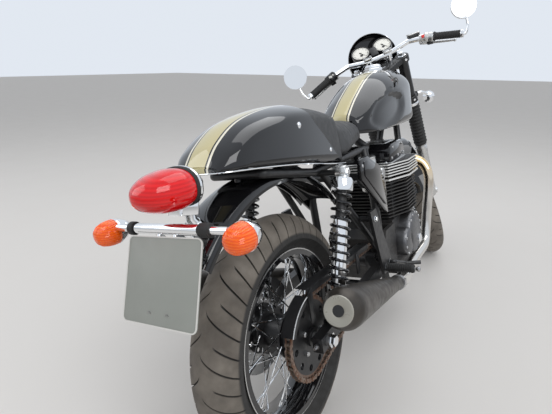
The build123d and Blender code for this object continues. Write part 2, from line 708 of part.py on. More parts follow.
GAUGE_CENTRE = Vector(52, 1182, 1117)
gauge_up = Vector(0, -0.5, 0.866)
with BuildPart() as gauges:
    for side in SIDES:
        face = Vector(side * GAUGE_CENTRE.X, GAUGE_CENTRE.Y, GAUGE_CENTRE.Z)
        rod(face - gauge_up * 52, face, 43)
    left_face = GAUGE_CENTRE - Vector(2 * GAUGE_CENTRE.X, 0, 0)
    rod(left_face - gauge_up * 40, GAUGE_CENTRE - gauge_up * 40, 10)
    rod(fork_point(0, 78, UPPER_YOKE[1]), fork_point(0, 78, 1142), 8)
    rod(fork_point(0, 72, 1136), fork_point(0, 150, 1139), 8)

with BuildPart() as fly_screen:
    with BuildSketch(Plane.XZ.offset(-1232)):
        with Locations((0, 1078)):
            Circle(116)
            Circle(112, mode=Mode.SUBTRACT)
        with Locations((0, 960)):
            Rectangle(260, 102, mode=Mode.SUBTRACT)
    extrude(amount=-50)
    for side in SIDES:
        low, high = sorted((side * 86.5, side * 94))
        block((low, 1236, 1011), (high, 1278, 1016))

BAR_RADIUS = 11
BAR = ((333, 1032, 1013), (215, 1075, 1058), (140, 1100, 1075), (45, 1100, 1058))
bar_points = list(BAR) + [(-x, y, z) for x, y, z in reversed(BAR)]
with BuildPart() as handlebar:
    bent_tube(bar_points, 30, BAR_RADIUS)
    for side in SIDES:
        rod(fork_point(side * 45, 46.4, UPPER_YOKE[1]), fork_point(side * 45, 46.4, 1163.8), 15)

bar_end = Vector(*BAR[0])
bar_run = Vector(*BAR[1]) - bar_end
with BuildPart() as grips:
    for side in SIDES:
        end = Vector(side * bar_end.X, bar_end.Y, bar_end.Z)
        run = Vector(side * bar_run.X, bar_run.Y, bar_run.Z)
        sleeve(end, end + run * 0.8, 16, BAR_RADIUS)

with BuildPart() as switchgear:
    for side in SIDES:
        end = Vector(side * bar_end.X, bar_end.Y, bar_end.Z)
        run = Vector(side * bar_run.X, bar_run.Y, bar_run.Z)
        sleeve(end + run * 0.81, end + run * 0.955, 21, BAR_RADIUS)

with BuildPart() as levers:
    for side in SIDES:
        bent_tube([(side * 196, 1093, 1057.3), (side * 200, 1128, 1048),
                   (side * 322, 1082, 1002)], 12, 6)

MIRROR_RADIUS = 51
with BuildPart() as mirrors:
    for side in SIDES:
        centre = Vector(side * 372, 1012, 1112)
        rod(centre, centre + Vector(0, 14, 0), MIRROR_RADIUS)
        rod(centre + Vector(0, 14, 0), centre + Vector(0, 20, 0), MIRROR_RADIUS, 38)
        end = Vector(side * bar_end.X, bar_end.Y, bar_end.Z)
        out = Vector(side * bar_run.X, bar_run.Y, bar_run.Z).normalized() * -1
        rod(end, end + out * 14, 15)
        bent_tube([end + out * 7, end + out * 24, (side * 372, 1019, 1070)], 10, 6)

with BuildPart() as front_indicators:
    for side in SIDES:
        bent_tube([(side * 135, 1245, 848), (side * 165, 1245, 848), (side * 200, 1300, 812)], 8, 7)
        rod((side * 205, 1276, 812), (side * 205, 1298, 812), 14, 29)
        rod((side * 205, 1298, 812), (side * 205, 1316, 812), 29)
        rod((side * 205, 1316, 812), (side * 205, 1338, 812), 29, 18)

CALIPER_INNER = 98
caliper_reach = sqrt(SLIDER_RADIUS ** 2 - (FORK_SPREAD - 94) ** 2) + SEAT
caliper_start = RAKE + degrees(asin(caliper_reach / CALIPER_INNER))
with BuildPart() as front_caliper:
    turned([(-94, CALIPER_INNER), (-94, 172), (-44, 172), (-44, CALIPER_INNER),
            (-57, CALIPER_INNER), (-57, 160), (-72, 160), (-72, CALIPER_INNER)],
           front_axle_point, start=caliper_start, arc=38)

# Front wheel
with BuildPart() as front_tyre:
    tyre(front_axle_point, FRONT_RADIUS, FRONT_CROWN, FRONT_RIM_EDGE, FRONT_RIM_HALF)
with BuildPart() as front_rim:
    rim(front_axle_point, FRONT_RIM_EDGE, FRONT_RIM_HALF)
with BuildPart() as front_hub:
    turned([(-60, 48), (-50, 48), (-38, 36), (-34, 36), (-34, 58), (-28, 58), (-28, 36),
            (28, 36), (28, 58), (34, 58), (34, 36), (60, 24),
            (60, AXLE_RADIUS + RUNNING_FIT), (-60, AXLE_RADIUS + RUNNING_FIT)],
           front_axle_point)
with BuildPart() as front_spokes:
    spokes(front_axle_point, 31, 52, FRONT_RIM_EDGE - WELL_DEPTH - 5)
with BuildPart() as front_disc:
    turned([(-67, 95), (-67, 155), (-62, 155), (-62, 95)], front_axle_point)
    turned([(-64, 46), (-64, 97), (-60, 97), (-60, 46)], front_axle_point)

# Rear wheel
with BuildPart() as rear_tyre:
    tyre(rear_axle_point, REAR_RADIUS, REAR_CROWN, REAR_RIM_EDGE, REAR_RIM_HALF)
with BuildPart() as rear_rim:
    rim(rear_axle_point, REAR_RIM_EDGE, REAR_RIM_HALF)
HUB_FLANGE = CHAIN_PLANE - 3.5 - SEAT
with BuildPart() as rear_hub:
    turned([(-64, 50), (-50, 50), (-44, 44), (-36, 44), (-36, 66), (-30, 66), (-30, 44),
            (30, 44), (30, 66), (36, 66), (36, 58), (HUB_FLANGE, 58), (HUB_FLANGE, 24), (100, 24),
            (100, AXLE_RADIUS + RUNNING_FIT), (-100, AXLE_RADIUS + RUNNING_FIT), (-100, 20),
            (-64, 20)], rear_axle_point)
with BuildPart() as rear_spokes:
    spokes(rear_axle_point, 33, 60, REAR_RIM_EDGE - WELL_DEPTH - 5)
with BuildPart() as rear_sprocket:
    turned([(CHAIN_PLANE - 3.5, 50), (CHAIN_PLANE - 3.5, rear_pitch_radius - 7),
            (CHAIN_PLANE + 3.5, rear_pitch_radius - 7), (CHAIN_PLANE + 3.5, 50)], rear_axle_point)
with BuildPart() as rear_disc:
    turned([(-69, 49), (-69, 127), (-64, 127), (-64, 49)], rear_axle_point)
with BuildPart() as rear_caliper:
    turned([(-88, 84), (-88, 142), (-50, 142), (-50, 84), (-59, 84), (-59, 132), (-74, 132),
            (-74, 84)], rear_axle_point, start=-62, arc=34)
    block((SEAT - 114, 60, 326), (-86, 84, 400))

# Chain: one fixed loop of links
centre_gap = hypot(OUTPUT_SHAFT[0], OUTPUT_SHAFT[1] - REAR_AXLE_Z)
tilt = atan2(OUTPUT_SHAFT[1] - REAR_AXLE_Z, OUTPUT_SHAFT[0])
half_wrap = asin((rear_pitch_radius - front_pitch_radius) / centre_gap)
straight = centre_gap * cos(half_wrap)
rear_arc = (pi + 2 * half_wrap) * rear_pitch_radius
front_arc = (pi - 2 * half_wrap) * front_pitch_radius
loop_length = 2 * straight + rear_arc + front_arc


def chain_point(travel):
    """A point on the chain's pitch line, after so much travel from the top run's rear end."""
    travel = travel % loop_length
    if travel < straight:
        y = rear_pitch_radius * sin(half_wrap) + travel * cos(half_wrap)
        z = rear_pitch_radius * cos(half_wrap) - travel * sin(half_wrap)
    elif travel < straight + front_arc:
        turn = pi / 2 - half_wrap - (travel - straight) / front_pitch_radius
        y = centre_gap + front_pitch_radius * cos(turn)
        z = front_pitch_radius * sin(turn)
    elif travel < 2 * straight + front_arc:
        left = travel - straight - front_arc
        y = centre_gap + front_pitch_radius * sin(half_wrap) - left * cos(half_wrap)
        z = -front_pitch_radius * cos(half_wrap) - left * sin(half_wrap)
    else:
        turn = -pi / 2 + half_wrap - (travel - 2 * straight - front_arc) / rear_pitch_radius
        y = rear_pitch_radius * cos(turn)
        z = rear_pitch_radius * sin(turn)
    return Vector(0, y * cos(tilt) - z * sin(tilt), REAR_AXLE_Z + y * sin(tilt) + z * cos(tilt))


with BuildPart() as chain:
    for number in range(CHAIN_LINKS):
        start = chain_point(number * loop_length / CHAIN_LINKS)
        end = chain_point((number + 1) * loop_length / CHAIN_LINKS)
        half_width = 8.5 if number % 2 else 6.5
        middle = (start + end) * 0.5 + Vector(CHAIN_PLANE, 0, 0)
        with Locations(Location(middle, (degrees(atan2((end - start).Z, (end - start).Y)), 0, 0))):
            Box(half_width * 2, CHAIN_PITCH + 1.5, 11)

# Side stand
with BuildPart() as side_stand:
    rod(STAND_PIVOT, STAND_FOOT + ground_normal * 8, 11)
    rod(STAND_PIVOT - stand_axis * 12, STAND_PIVOT + stand_axis * 12, 17)
    with BuildSketch(Plane(STAND_FOOT, x_dir=(0, 1, 0), z_dir=ground_normal)):
        RectangleRounded(64, 40, 12)
    extrude(amount=9)
    with BuildSketch(Plane(STAND_PIVOT - stand_axis * 20, z_dir=stand_axis)):
        Circle(STAND_PIN + RUNNING_FIT)
    extrude(amount=40, mode=Mode.SUBTRACT)

NODES = {
    "frame": (frame, False), "crankcase": (crankcase, False),
    "cylinder_barrels": (cylinder_barrels, False), "cylinder_head": (cylinder_head, False),
    "engine_covers": (engine_covers, False), "sprocket_cover": (sprocket_cover, False),
    "front_sprocket": (front_sprocket, False), "carburettors": (carburettors, False),
    "exhaust_headers": (exhaust_headers, False), "silencers": (silencers, False),
    "fuel_tank": (fuel_tank, False), "fuel_cap": (fuel_cap, False),
    "seat_cowl": (seat_cowl, False), "seat": (seat, False), "side_covers": (side_covers, False),
    "rear_fender": (rear_fender, False), "tail_lamp": (tail_lamp, False),
    "tail_lens": (tail_lens, False), "indicator_bar": (indicator_bar, False),
    "rear_indicators": (rear_indicators, False), "number_plate": (number_plate, False),
    "swingarm": (swingarm, False), "rear_axle": (rear_axle, False),
    "shock_dampers": (shock_dampers, False), "shock_springs": (shock_springs, False),
    "chain": (chain, False), "chain_guard": (chain_guard, False),
    "foot_hangers": (foot_hangers, False), "foot_pegs": (foot_pegs, False),
    "brake_pedal": (brake_pedal, False), "gear_lever": (gear_lever, False),
    "rear_caliper": (rear_caliper, False),
    "fork_yokes": (fork_yokes, True), "fork_legs": (fork_legs, True),
    "fork_gaiters": (fork_gaiters, True), "front_axle": (front_axle, True),
    "front_fender": (front_fender, True), "headlamp": (headlamp, True),
    "headlamp_lens": (headlamp_lens, True), "gauges": (gauges, True),
    "fly_screen": (fly_screen, True), "handlebar": (handlebar, True), "grips": (grips, True),
    "switchgear": (switchgear, True), "levers": (levers, True), "mirrors": (mirrors, True),
    "front_indicators": (front_indicators, True), "front_caliper": (front_caliper, True),
    "front_tyre": (front_tyre, True), "front_rim": (front_rim, True),
    "front_hub": (front_hub, True), "front_spokes": (front_spokes, True),
    "front_disc": (front_disc, True),
    "rear_tyre": (rear_tyre, False), "rear_rim": (rear_rim, False),
    "rear_hub": (rear_hub, False), "rear_spokes": (rear_spokes, False),
    "rear_sprocket": (rear_sprocket, False), "rear_disc": (rear_disc, False),
    "side_stand": (side_stand, False),
}
os.makedirs("parts", exist_ok=True)
print("pitch", pitch, "lift", rear_lift)
whole = []
for node, (builder, steers) in NODES.items():
    shape = steered(builder.part) if steers else builder.part
    shape = parked(shape)
    shape.label = node
    export_step(shape, f"parts/{node}.step")
    whole.append(shape)
box = Compound(children=whole).bounding_box()
print("box", box.min, box.max, "centre", box.center())
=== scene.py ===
"""Looks of the parked cafe racer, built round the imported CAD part.

The pieces are drawn in millimetres on the upright machine: +X right, +Y front, +Z up, origin
on the ground under the rear axle. PLACE then leans them onto the stand, in metres.
"""

from math import asin, atan2, cos, hypot, pi, radians, sin

import bmesh
import bpy
from mathutils import Matrix, Vector


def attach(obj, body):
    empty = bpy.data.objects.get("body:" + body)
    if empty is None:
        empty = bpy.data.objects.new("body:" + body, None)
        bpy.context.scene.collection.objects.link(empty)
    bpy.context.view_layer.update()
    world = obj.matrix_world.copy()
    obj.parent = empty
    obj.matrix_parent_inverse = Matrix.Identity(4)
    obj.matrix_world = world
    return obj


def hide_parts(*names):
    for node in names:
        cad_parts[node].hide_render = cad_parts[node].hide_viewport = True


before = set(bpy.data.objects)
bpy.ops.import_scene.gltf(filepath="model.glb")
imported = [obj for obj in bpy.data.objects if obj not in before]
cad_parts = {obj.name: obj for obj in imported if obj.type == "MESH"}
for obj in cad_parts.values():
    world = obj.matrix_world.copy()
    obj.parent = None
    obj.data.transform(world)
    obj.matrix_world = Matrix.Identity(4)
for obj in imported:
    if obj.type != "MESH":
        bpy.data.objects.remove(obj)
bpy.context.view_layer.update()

# The machine is drawn upright, then leaned onto its stand, and its steering turned to the stop
LEAN = radians(10.9)
PITCH = radians(-0.27973)
STOP = radians(30.8)
RAKE = radians(27)
SHIFT = Vector((0.1781, -0.6946, 0.00118556))
STEER_FOOT = 1587
STEER_GROUND = Vector((0, STEER_FOOT * 0.001, 0))
STEER_UP = Vector((0, -sin(RAKE), cos(RAKE)))
PARKED = Matrix.Translation(SHIFT) @ Matrix.Rotation(PITCH, 4, "X") @ Matrix.Rotation(-LEAN, 4, "Y")
STEERED = (PARKED @ Matrix.Translation(STEER_GROUND) @ Matrix.Rotation(STOP, 4, STEER_UP)
           @ Matrix.Translation(-STEER_GROUND))
MILLIMETRES = Matrix.Scale(0.001, 4)
PLACE = {
    "frame": PARKED @ MILLIMETRES, "rear_wheel": PARKED @ MILLIMETRES,
    "side_stand": PARKED @ MILLIMETRES,
    "steering": STEERED @ MILLIMETRES, "front_wheel": STEERED @ MILLIMETRES,
}

# Sizes that the pieces share, in millimetres
REAR_RADIUS = 320
REAR_CROWN = 65.5
REAR_RIM_EDGE = 228
REAR_RIM_HALF = 47
FRONT_RADIUS = 318
FRONT_CROWN = 50
FRONT_RIM_EDGE = 241
FRONT_RIM_HALF = 38
WHEELBASE = 1490
REAR_AXLE = Vector((0, 0, REAR_RADIUS))
FRONT_AXLE = Vector((0, WHEELBASE, FRONT_RADIUS))
REAR_FENDER_RADIUS = 436
FRONT_FENDER_RADIUS = 341
SIDES = (1, -1)
CHAIN_PITCH = 15.875
CHAIN_PLANE = 90
REAR_TEETH = 43
FRONT_TEETH = 18
CHAIN_LINKS = 106
OUTPUT_SHAFT = Vector((0, 595, 345))
LEFT_TO_RIGHT = Vector((1, 0, 0))
STRIPE_HALF = 35
# The least radius of a turned form, beside its axis
AXIS = 0.01


# Nodes
def fed(node, inputs):
    """Sets a node's inputs to numbers and colours, or feeds them from sockets."""
    for name, value in inputs.items():
        if isinstance(value, bpy.types.NodeSocket):
            node.id_data.links.new(value, node.inputs[name])
        else:
            node.inputs[name].default_value = value
    return node


def added(tree, kind, inputs=None, **settings):
    """A new node with its settings and inputs."""
    node = tree.nodes.new(kind)
    for name, value in settings.items():
        setattr(node, name, value)
    return fed(node, inputs or {})


def reckoned(tree, operation, first, second=0.0):
    """A math node on sockets and numbers."""
    return added(tree, "ShaderNodeMath", {0: first, 1: second}, operation=operation).outputs[0]


# Materials
def blank(name):
    """A new node material with one principled shader; returns the material, tree and shader."""
    made = bpy.data.materials.new(name)
    made.use_nodes = True
    tree = made.node_tree
    tree.nodes.clear()
    shader = added(tree, "ShaderNodeBsdfPrincipled")
    added(tree, "ShaderNodeOutputMaterial", {0: shader.outputs[0]})
    return made, tree, shader


def coordinates(tree, upright=False):
    """Object coordinates, turned back to the upright machine when asked."""
    source = added(tree, "ShaderNodeTexCoord").outputs["Object"]
    if not upright:
        return source
    back = PARKED.inverted()
    return added(tree, "ShaderNodeMapping", {
        "Location": back.to_translation(), "Rotation": back.to_euler(), "Vector": source,
    }).outputs["Vector"]


def noise(tree, source, scale, detail=3.0):
    """A noise value between 0 and 1."""
    return added(tree, "ShaderNodeTexNoise", {
        "Scale": scale, "Detail": detail, "Vector": source}).outputs["Fac"]


def spread(tree, value, low, high, from_low=0.3, from_high=0.7):
    """Maps a value onto a range."""
    return added(tree, "ShaderNodeMapRange", {
        "From Min": from_low, "From Max": from_high, "To Min": low, "To Max": high, "Value": value,
    }).outputs["Result"]


def mixed(tree, share, *colours):
    """A colour between two, each of them a colour or a socket."""
    first, second = ((*colour, 1.0) if isinstance(colour, tuple) else colour for colour in colours)
    return added(tree, "ShaderNodeMix", {0: share, 6: first, 7: second},
                 data_type="RGBA").outputs[2]


def bumped(tree, shader, height, distance, strength=1.0):
    """Gives a shader a bump from a height value."""
    bump = added(tree, "ShaderNodeBump", {
        "Distance": distance, "Strength": strength, "Height": height})
    fed(shader, {"Normal": bump.outputs["Normal"]})


def coated(weight, rough):
    """Inputs of one clear layer that gives the shine, over a base with little of its own."""
    return {"Specular IOR Level": 0.1, "Coat Weight": weight, "Coat Roughness": rough}


def finish(name, colour, rough, metal=0.0, coat=0.0, other=None, grain=60.0, bump=0.0):
    """A finish whose roughness, and colour where a second one is given, drift with a soft noise."""
    made, tree, shader = blank(name)
    source = coordinates(tree)
    shown = (*colour, 1.0)
    if other:
        patches = spread(tree, noise(tree, source, grain * 0.35), 0.0, 1.0)
        shown = mixed(tree, patches, colour, other)
    fed(shader, {"Base Color": shown, "Metallic": metal,
                 "Roughness": spread(tree, noise(tree, source, grain), rough[0], rough[1])})
    if coat:
        fed(shader, coated(coat, 0.04))
    if bump:
        bumped(tree, shader, noise(tree, source, grain * 8, 2.0), bump)
    return made


def striped_paint():
    """Gloss black with the cream band, its black edge lines and thin outer lines along the top."""
    made, tree, shader = blank("striped_paint")
    upright = coordinates(tree, upright=True)
    split = added(tree, "ShaderNodeSeparateXYZ", {0: upright})
    across = reckoned(tree, "ABSOLUTE", split.outputs["X"])
    whole = 2 * STRIPE_HALF * 0.001
    ramp = added(tree, "ShaderNodeValToRGB", {0: reckoned(tree, "DIVIDE", across, whole)})
    ramp.color_ramp.interpolation = "CONSTANT"
    black = (0.006, 0.006, 0.007)
    band = (0.50, 0.45, 0.25)
    line = (0.74, 0.71, 0.6)
    elements = ramp.color_ramp.elements
    elements.remove(elements[1])
    elements[0].color = (*band, 1)
    for place, colour in ((0.36, black), (0.42, line), (0.5, black)):
        elements.new(place).color = (*colour, 1)
    fed(shader, {"Base Color": ramp.outputs["Color"],
                 "Roughness": spread(tree, noise(tree, upright, 25), 0.05, 0.11),
                 **coated(1.0, 0.03)})
    return made


def heated_chrome():
    """Header chrome: straw gold beside the head, then clear chrome."""
    made, tree, shader = blank("heated_chrome")
    upright = coordinates(tree, upright=True)
    split = added(tree, "ShaderNodeSeparateXYZ", {0: upright})
    height = spread(tree, split.outputs["Z"], 0.0, 1.0, 0.46, 0.60)
    fed(shader, {"Base Color": mixed(tree, height, (0.72, 0.70, 0.67), (0.85, 0.62, 0.33)),
                 "Metallic": 1.0,
                 "Roughness": spread(tree, noise(tree, upright, 30), 0.08, 0.17)})
    return made


def worn_tread():
    """Dusty brown-grey tread with black walls and grooves, by the wheel's own tread attribute."""
    made, tree, shader = blank("worn_tread")
    source = coordinates(tree)
    dust = spread(tree, noise(tree, source, 18, 6.0), 0.0, 1.0, 0.32, 0.68)
    worn = mixed(tree, dust, (0.095, 0.083, 0.071), (0.175, 0.156, 0.134))
    share = added(tree, "ShaderNodeAttribute", attribute_name="tread").outputs["Fac"]
    fed(shader, {"Base Color": mixed(tree, share, (0.026, 0.025, 0.024), worn),
                 "Roughness": spread(tree, noise(tree, source, 60), 0.7, 0.9)})
    bumped(tree, shader, noise(tree, source, 700, 3.0), 0.0003)
    return made


def ribbed_lens(name, colour, painted_glow, rib):
    """A moulded lens: clear coat over coloured plastic, fine level ribs in its bump, painted glow
    in their bands.
    """
    made, tree, shader = blank(name)
    source = coordinates(tree)
    wave = added(tree, "ShaderNodeTexWave", {"Scale": rib, "Vector": source},
                 bands_direction="Z").outputs["Fac"]
    # painted glow: the ribs' bands mix in a brighter colour that stands in for light caught in the
    # lens
    fed(shader, {"Base Color": mixed(tree, wave, colour, painted_glow),
                 "Roughness": spread(tree, noise(tree, source, 40), 0.05, 0.12),
                 "Subsurface Weight": 0.15, "Subsurface Scale": 0.01, **coated(0.8, 0.03)})
    bumped(tree, shader, wave, 0.0003, 0.3)
    return made


GLOSS_BLACK = finish("gloss_black", (0.006, 0.006, 0.007), (0.05, 0.12), coat=1.0, grain=25)
SATIN_BLACK = finish("satin_black", (0.012, 0.012, 0.013), (0.3, 0.45), grain=60)
ENGINE_BLACK = finish("engine_black", (0.014, 0.014, 0.015), (0.35, 0.55), grain=90,
                      other=(0.03, 0.028, 0.026))
CHROME = finish("chrome", (0.86, 0.87, 0.88), (0.04, 0.12), metal=1.0, grain=30)
ALLOY = finish("alloy", (0.62, 0.62, 0.61), (0.22, 0.38), metal=1.0, grain=80)
DARK_EXHAUST = finish("dark_exhaust", (0.05, 0.045, 0.04), (0.34, 0.5), metal=0.8, grain=45,
                      other=(0.09, 0.08, 0.07))
CHAIN_STEEL = finish("chain_steel", (0.16, 0.07, 0.035), (0.45, 0.7), metal=0.6, grain=120,
                     other=(0.25, 0.2, 0.17))
ROLLER_STEEL = finish("roller_steel", (0.42, 0.38, 0.34), (0.3, 0.5), metal=0.9, grain=120,
                      other=(0.22, 0.15, 0.1))
STEEL = finish("steel", (0.45, 0.45, 0.45), (0.25, 0.4), metal=1.0, grain=70)
MACHINED = finish("machined", (0.8, 0.8, 0.78), (0.3, 0.42), metal=0.6, grain=70)
COVER_ALLOY = finish("cover_alloy", (0.15, 0.15, 0.155), (0.3, 0.45), metal=0.9, grain=90)
RUBBER = finish("rubber", (0.015, 0.015, 0.015), (0.6, 0.8), grain=150, bump=0.0004)
VINYL = finish("vinyl", (0.03, 0.031, 0.033), (0.45, 0.62), grain=60, other=(0.042, 0.043, 0.045),
               bump=0.0006)
CLEAR_LENS = finish("clear_lens", (0.75, 0.78, 0.8), (0.03, 0.07), metal=0.3, coat=1.0, grain=30)
PLATE = finish("plate", (0.27, 0.285, 0.265), (0.4, 0.55), grain=40, other=(0.25, 0.265, 0.245))
PALE_PAINT = finish("pale_paint", (0.62, 0.62, 0.6), (0.3, 0.45), grain=50)
END_RING = finish("end_ring", (0.34, 0.33, 0.29), (0.25, 0.4), metal=0.3, grain=50)
MIRROR = finish("mirror", (0.5, 0.53, 0.55), (0.01, 0.02), metal=1.0, grain=30)
DIAL_WHITE = finish("dial_white", (0.72, 0.72, 0.68), (0.2, 0.3), coat=0.6, grain=30)
DIAL_MARKS = finish("dial_marks", (0.02, 0.02, 0.02), (0.4, 0.5), grain=30)
RED_SWITCH = finish("red_switch", (0.6, 0.02, 0.015), (0.3, 0.4), grain=60)
# each lens's second colour is its painted glow, the brighter bands along its ribs
RED_LENS = ribbed_lens("red_lens", (0.58, 0.002, 0.004), (0.72, 0.006, 0.008), 45)
AMBER_LENS = ribbed_lens("amber_lens", (0.82, 0.085, 0.002), (0.92, 0.15, 0.006), 60)
PAINT = striped_paint()
HEADER_CHROME = heated_chrome()
TREAD = worn_tread()

BY_SLOT = {
    "gloss_black": GLOSS_BLACK, "satin_black": SATIN_BLACK, "engine_black": ENGINE_BLACK,
    "chrome": CHROME, "alloy": ALLOY, "dark_exhaust": DARK_EXHAUST, "chain_steel": CHAIN_STEEL,
    "steel": STEEL, "rubber": RUBBER, "tyre": RUBBER, "vinyl": VINYL, "red_lens": RED_LENS,
    "amber_lens": AMBER_LENS, "clear_lens": CLEAR_LENS, "plate": PLATE, "mirror": MIRROR,
}
BY_NODE = {"exhaust_headers": HEADER_CHROME, "brake_pedal": SATIN_BLACK, "gear_lever": SATIN_BLACK}
for node_name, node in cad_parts.items():
    for held in node.material_slots:
        base = held.material.name.split(".")[0] if held.material else "satin_black"
        held.material = BY_NODE.get(node_name) or BY_SLOT.get(base, SATIN_BLACK)


# Objects and their meshes
def linked(name, data):
    """A new object in the scene."""
    holder = bpy.data.objects.new(name, data)
    bpy.context.scene.collection.objects.link(holder)
    return holder


def baked(holder):
    """The mesh that an object's modifiers make of it."""
    ready = holder.evaluated_get(bpy.context.evaluated_depsgraph_get())
    return bpy.data.meshes.new_from_object(ready)


def outward(mesh, merge=0.0):
    """Turns a mesh's faces outwards, its doubles merged first where a distance is given."""
    body = bmesh.new()
    body.from_mesh(mesh)
    if merge:
        bmesh.ops.remove_doubles(body, verts=body.verts, dist=merge)
    bmesh.ops.recalc_face_normals(body, faces=body.faces)
    body.to_mesh(mesh)
    body.free()
    return mesh


# Mesh forms: each returns a mesh of one material, in millimetres on the upright machine
def form(vertices, faces, material):
    """A mesh of one material, its doubles merged and its faces turned outwards."""
    made = bpy.data.meshes.new("form")
    made.from_pydata([tuple(place) for place in vertices], [], faces)
    made.materials.append(material)
    return outward(made, merge=0.002)


def square_axes(along):
    """Two directions square to a line and to each other."""
    along = Vector(along).normalized()
    first = along.cross(LEFT_TO_RIGHT)
    if first.length < 0.1:
        first = along.cross(Vector((0, 0, 1)))
    first.normalize()
    return first, along.cross(first)


def loft(rings, material, closed=False):
    """A skin over rings that have as many points each: capped, or closed from last to first."""
    rows = len(rings)
    count = len(rings[0])
    vertices = [place for ring in rings for place in ring]
    faces = [] if closed else [tuple(range(count)), tuple(range((rows - 1) * count, rows * count))]
    for row in range(rows if closed else rows - 1):
        low = row * count
        high = (row + 1) % rows * count
        for step in range(count):
            after = (step + 1) % count
            faces.append((low + step, low + after, high + after, high + step))
    return form(vertices, faces, material)


def circle_about(centre, first, second, radius, steps):
    """Points of a circle in the plane of two directions."""
    return [centre + (first * cos(2 * pi * step / steps) + second * sin(2 * pi * step / steps))
            * radius for step in range(steps)]


def spun(profile, start, along, material, steps=48, ring=False):
    """Turns (radius, distance) points about a line; a ring's profile is closed on itself."""
    start = Vector(start)
    along = Vector(along).normalized()
    first, second = square_axes(along)
    rings = [circle_about(start + along * distance, first, second, radius, steps)
             for radius, distance in profile]
    return loft(rings, material, closed=ring)


def lathe(profile, start, along, material, steps=48, ring=False):
    """A turned form; a solid one's profile is led to the axis at both ends."""
    if not ring and profile[0][0] > AXIS:
        profile = [(AXIS, profile[0][1])] + profile
    if not ring and profile[-1][0] > AXIS:
        profile = profile + [(AXIS, profile[-1][1])]
    return spun(profile, start, along, material, steps, ring)


def smooth_line(points, parts=6):
    """Points on a smooth curve through the given ones."""
    points = [Vector(place) for place in points]
    line = []
    for index in range(len(points) - 1):
        before = points[max(index - 1, 0)]
        here, ahead = points[index], points[index + 1]
        after = points[min(index + 2, len(points) - 1)]
        for part in range(parts):
            share = part / parts
            line.append(0.5 * ((2 * here) + (ahead - before) * share
                               + (2 * before - 5 * here + 4 * ahead - after) * share ** 2
                               + (3 * here - before - 3 * ahead + after) * share ** 3))
    line.append(points[-1])
    return line


def smooth_rings(rings, parts):
    """More rings, on smooth curves through each point of the given ones."""
    lines = [smooth_line(places, parts) for places in zip(*rings)]
    return [list(places) for places in zip(*lines)]


def tube(line, radius, material, sides=12):
    """A capped round tube along a line; radius is a number or one for each point."""
    line = [Vector(place) for place in line]
    radii = radius if isinstance(radius, (list, tuple)) else [radius] * len(line)
    first, _ = square_axes(line[1] - line[0])
    rings = []
    for index, place in enumerate(line):
        back = line[max(index - 1, 0)]
        ahead = line[min(index + 1, len(line) - 1)]
        tangent = (ahead - back).normalized()
        first = (first - tangent * first.dot(tangent)).normalized()
        rings.append(circle_about(place, first, tangent.cross(first), radii[index], sides))
    return loft(rings, material)


def slab(outline, depth, plane, material, bevel=0.0):
    """A plate with a soft edge: (u, v) points on a plane matrix, extruded by depth along its Z."""
    made = loft([[plane @ Vector((u, v, level)) for u, v in outline] for level in (0, depth)],
                material)
    if bevel:
        body = bmesh.new()
        body.from_mesh(made)
        bmesh.ops.bevel(body, geom=list(body.edges), offset=bevel, segments=2, profile=0.5,
                        affect="EDGES", clamp_overlap=True)
        body.to_mesh(made)
        body.free()
    return made


def across_plane(x):
    """A plane matrix square to the machine: u is +Y, v is +Z, depth is +X."""
    return Matrix(((0, 0, 1, x), (1, 0, 0, 0), (0, 1, 0, 0), (0, 0, 0, 1)))


def aimed(place, along):
    """A plane matrix at a place whose Z points along a direction."""
    first, second = square_axes(along)
    along = Vector(along).normalized()
    place = Vector(place)
    return Matrix(((first.x, second.x, along.x, place.x), (first.y, second.y, along.y, place.y),
                   (first.z, second.z, along.z, place.z), (0, 0, 0, 1)))


def rounded_box(half_u, half_v, corner, steps=5):
    """The (u, v) points of a rectangle with round corners."""
    outline = []
    for quarter, (sign_u, sign_v) in enumerate(((1, 1), (-1, 1), (-1, -1), (1, -1))):
        for step in range(steps + 1):
            angle = pi / 2 * (quarter + step / steps)
            outline.append((sign_u * (half_u - corner) + corner * cos(angle),
                            sign_v * (half_v - corner) + corner * sin(angle)))
    return outline


def on_side(place, side):
    """A place that is given for the right side, there or across on the left."""
    return Vector((side * place[0], place[1], place[2]))


def cross_plate(outline, half, material, bevel=0.0):
    """A plate of (y, z) points right across the machine, so wide to either side."""
    return slab(outline, 2 * half, across_plane(-half), material, bevel)


def moved(mesh, matrix):
    """The same mesh put somewhere else."""
    mesh.transform(matrix)
    return mesh


# Geometry trees: what repeats
def new_tree(name, inputs):
    """A geometry tree with named inputs; returns it with its entry and exit nodes."""
    tree = bpy.data.node_groups.new(name, "GeometryNodeTree")
    tree.interface.new_socket("Geometry", in_out="INPUT", socket_type="NodeSocketGeometry")
    for label, kind in inputs:
        tree.interface.new_socket(label, in_out="INPUT", socket_type="NodeSocket" + kind)
    tree.interface.new_socket("Geometry", in_out="OUTPUT", socket_type="NodeSocketGeometry")
    return tree, tree.nodes.new("NodeGroupInput"), tree.nodes.new("NodeGroupOutput")


def closing(tree, geometry, entry, exit_node):
    """Ends a tree: instances realized, doubles merged, material set."""
    realize = added(tree, "GeometryNodeRealizeInstances", {0: geometry})
    merge = added(tree, "GeometryNodeMergeByDistance", {
        "Geometry": realize.outputs[0], "Distance": 0.01})
    paint = added(tree, "GeometryNodeSetMaterial", {
        "Geometry": merge.outputs[0], "Material": entry.outputs["Material"]})
    fed(exit_node, {0: paint.outputs[0]})
    return tree


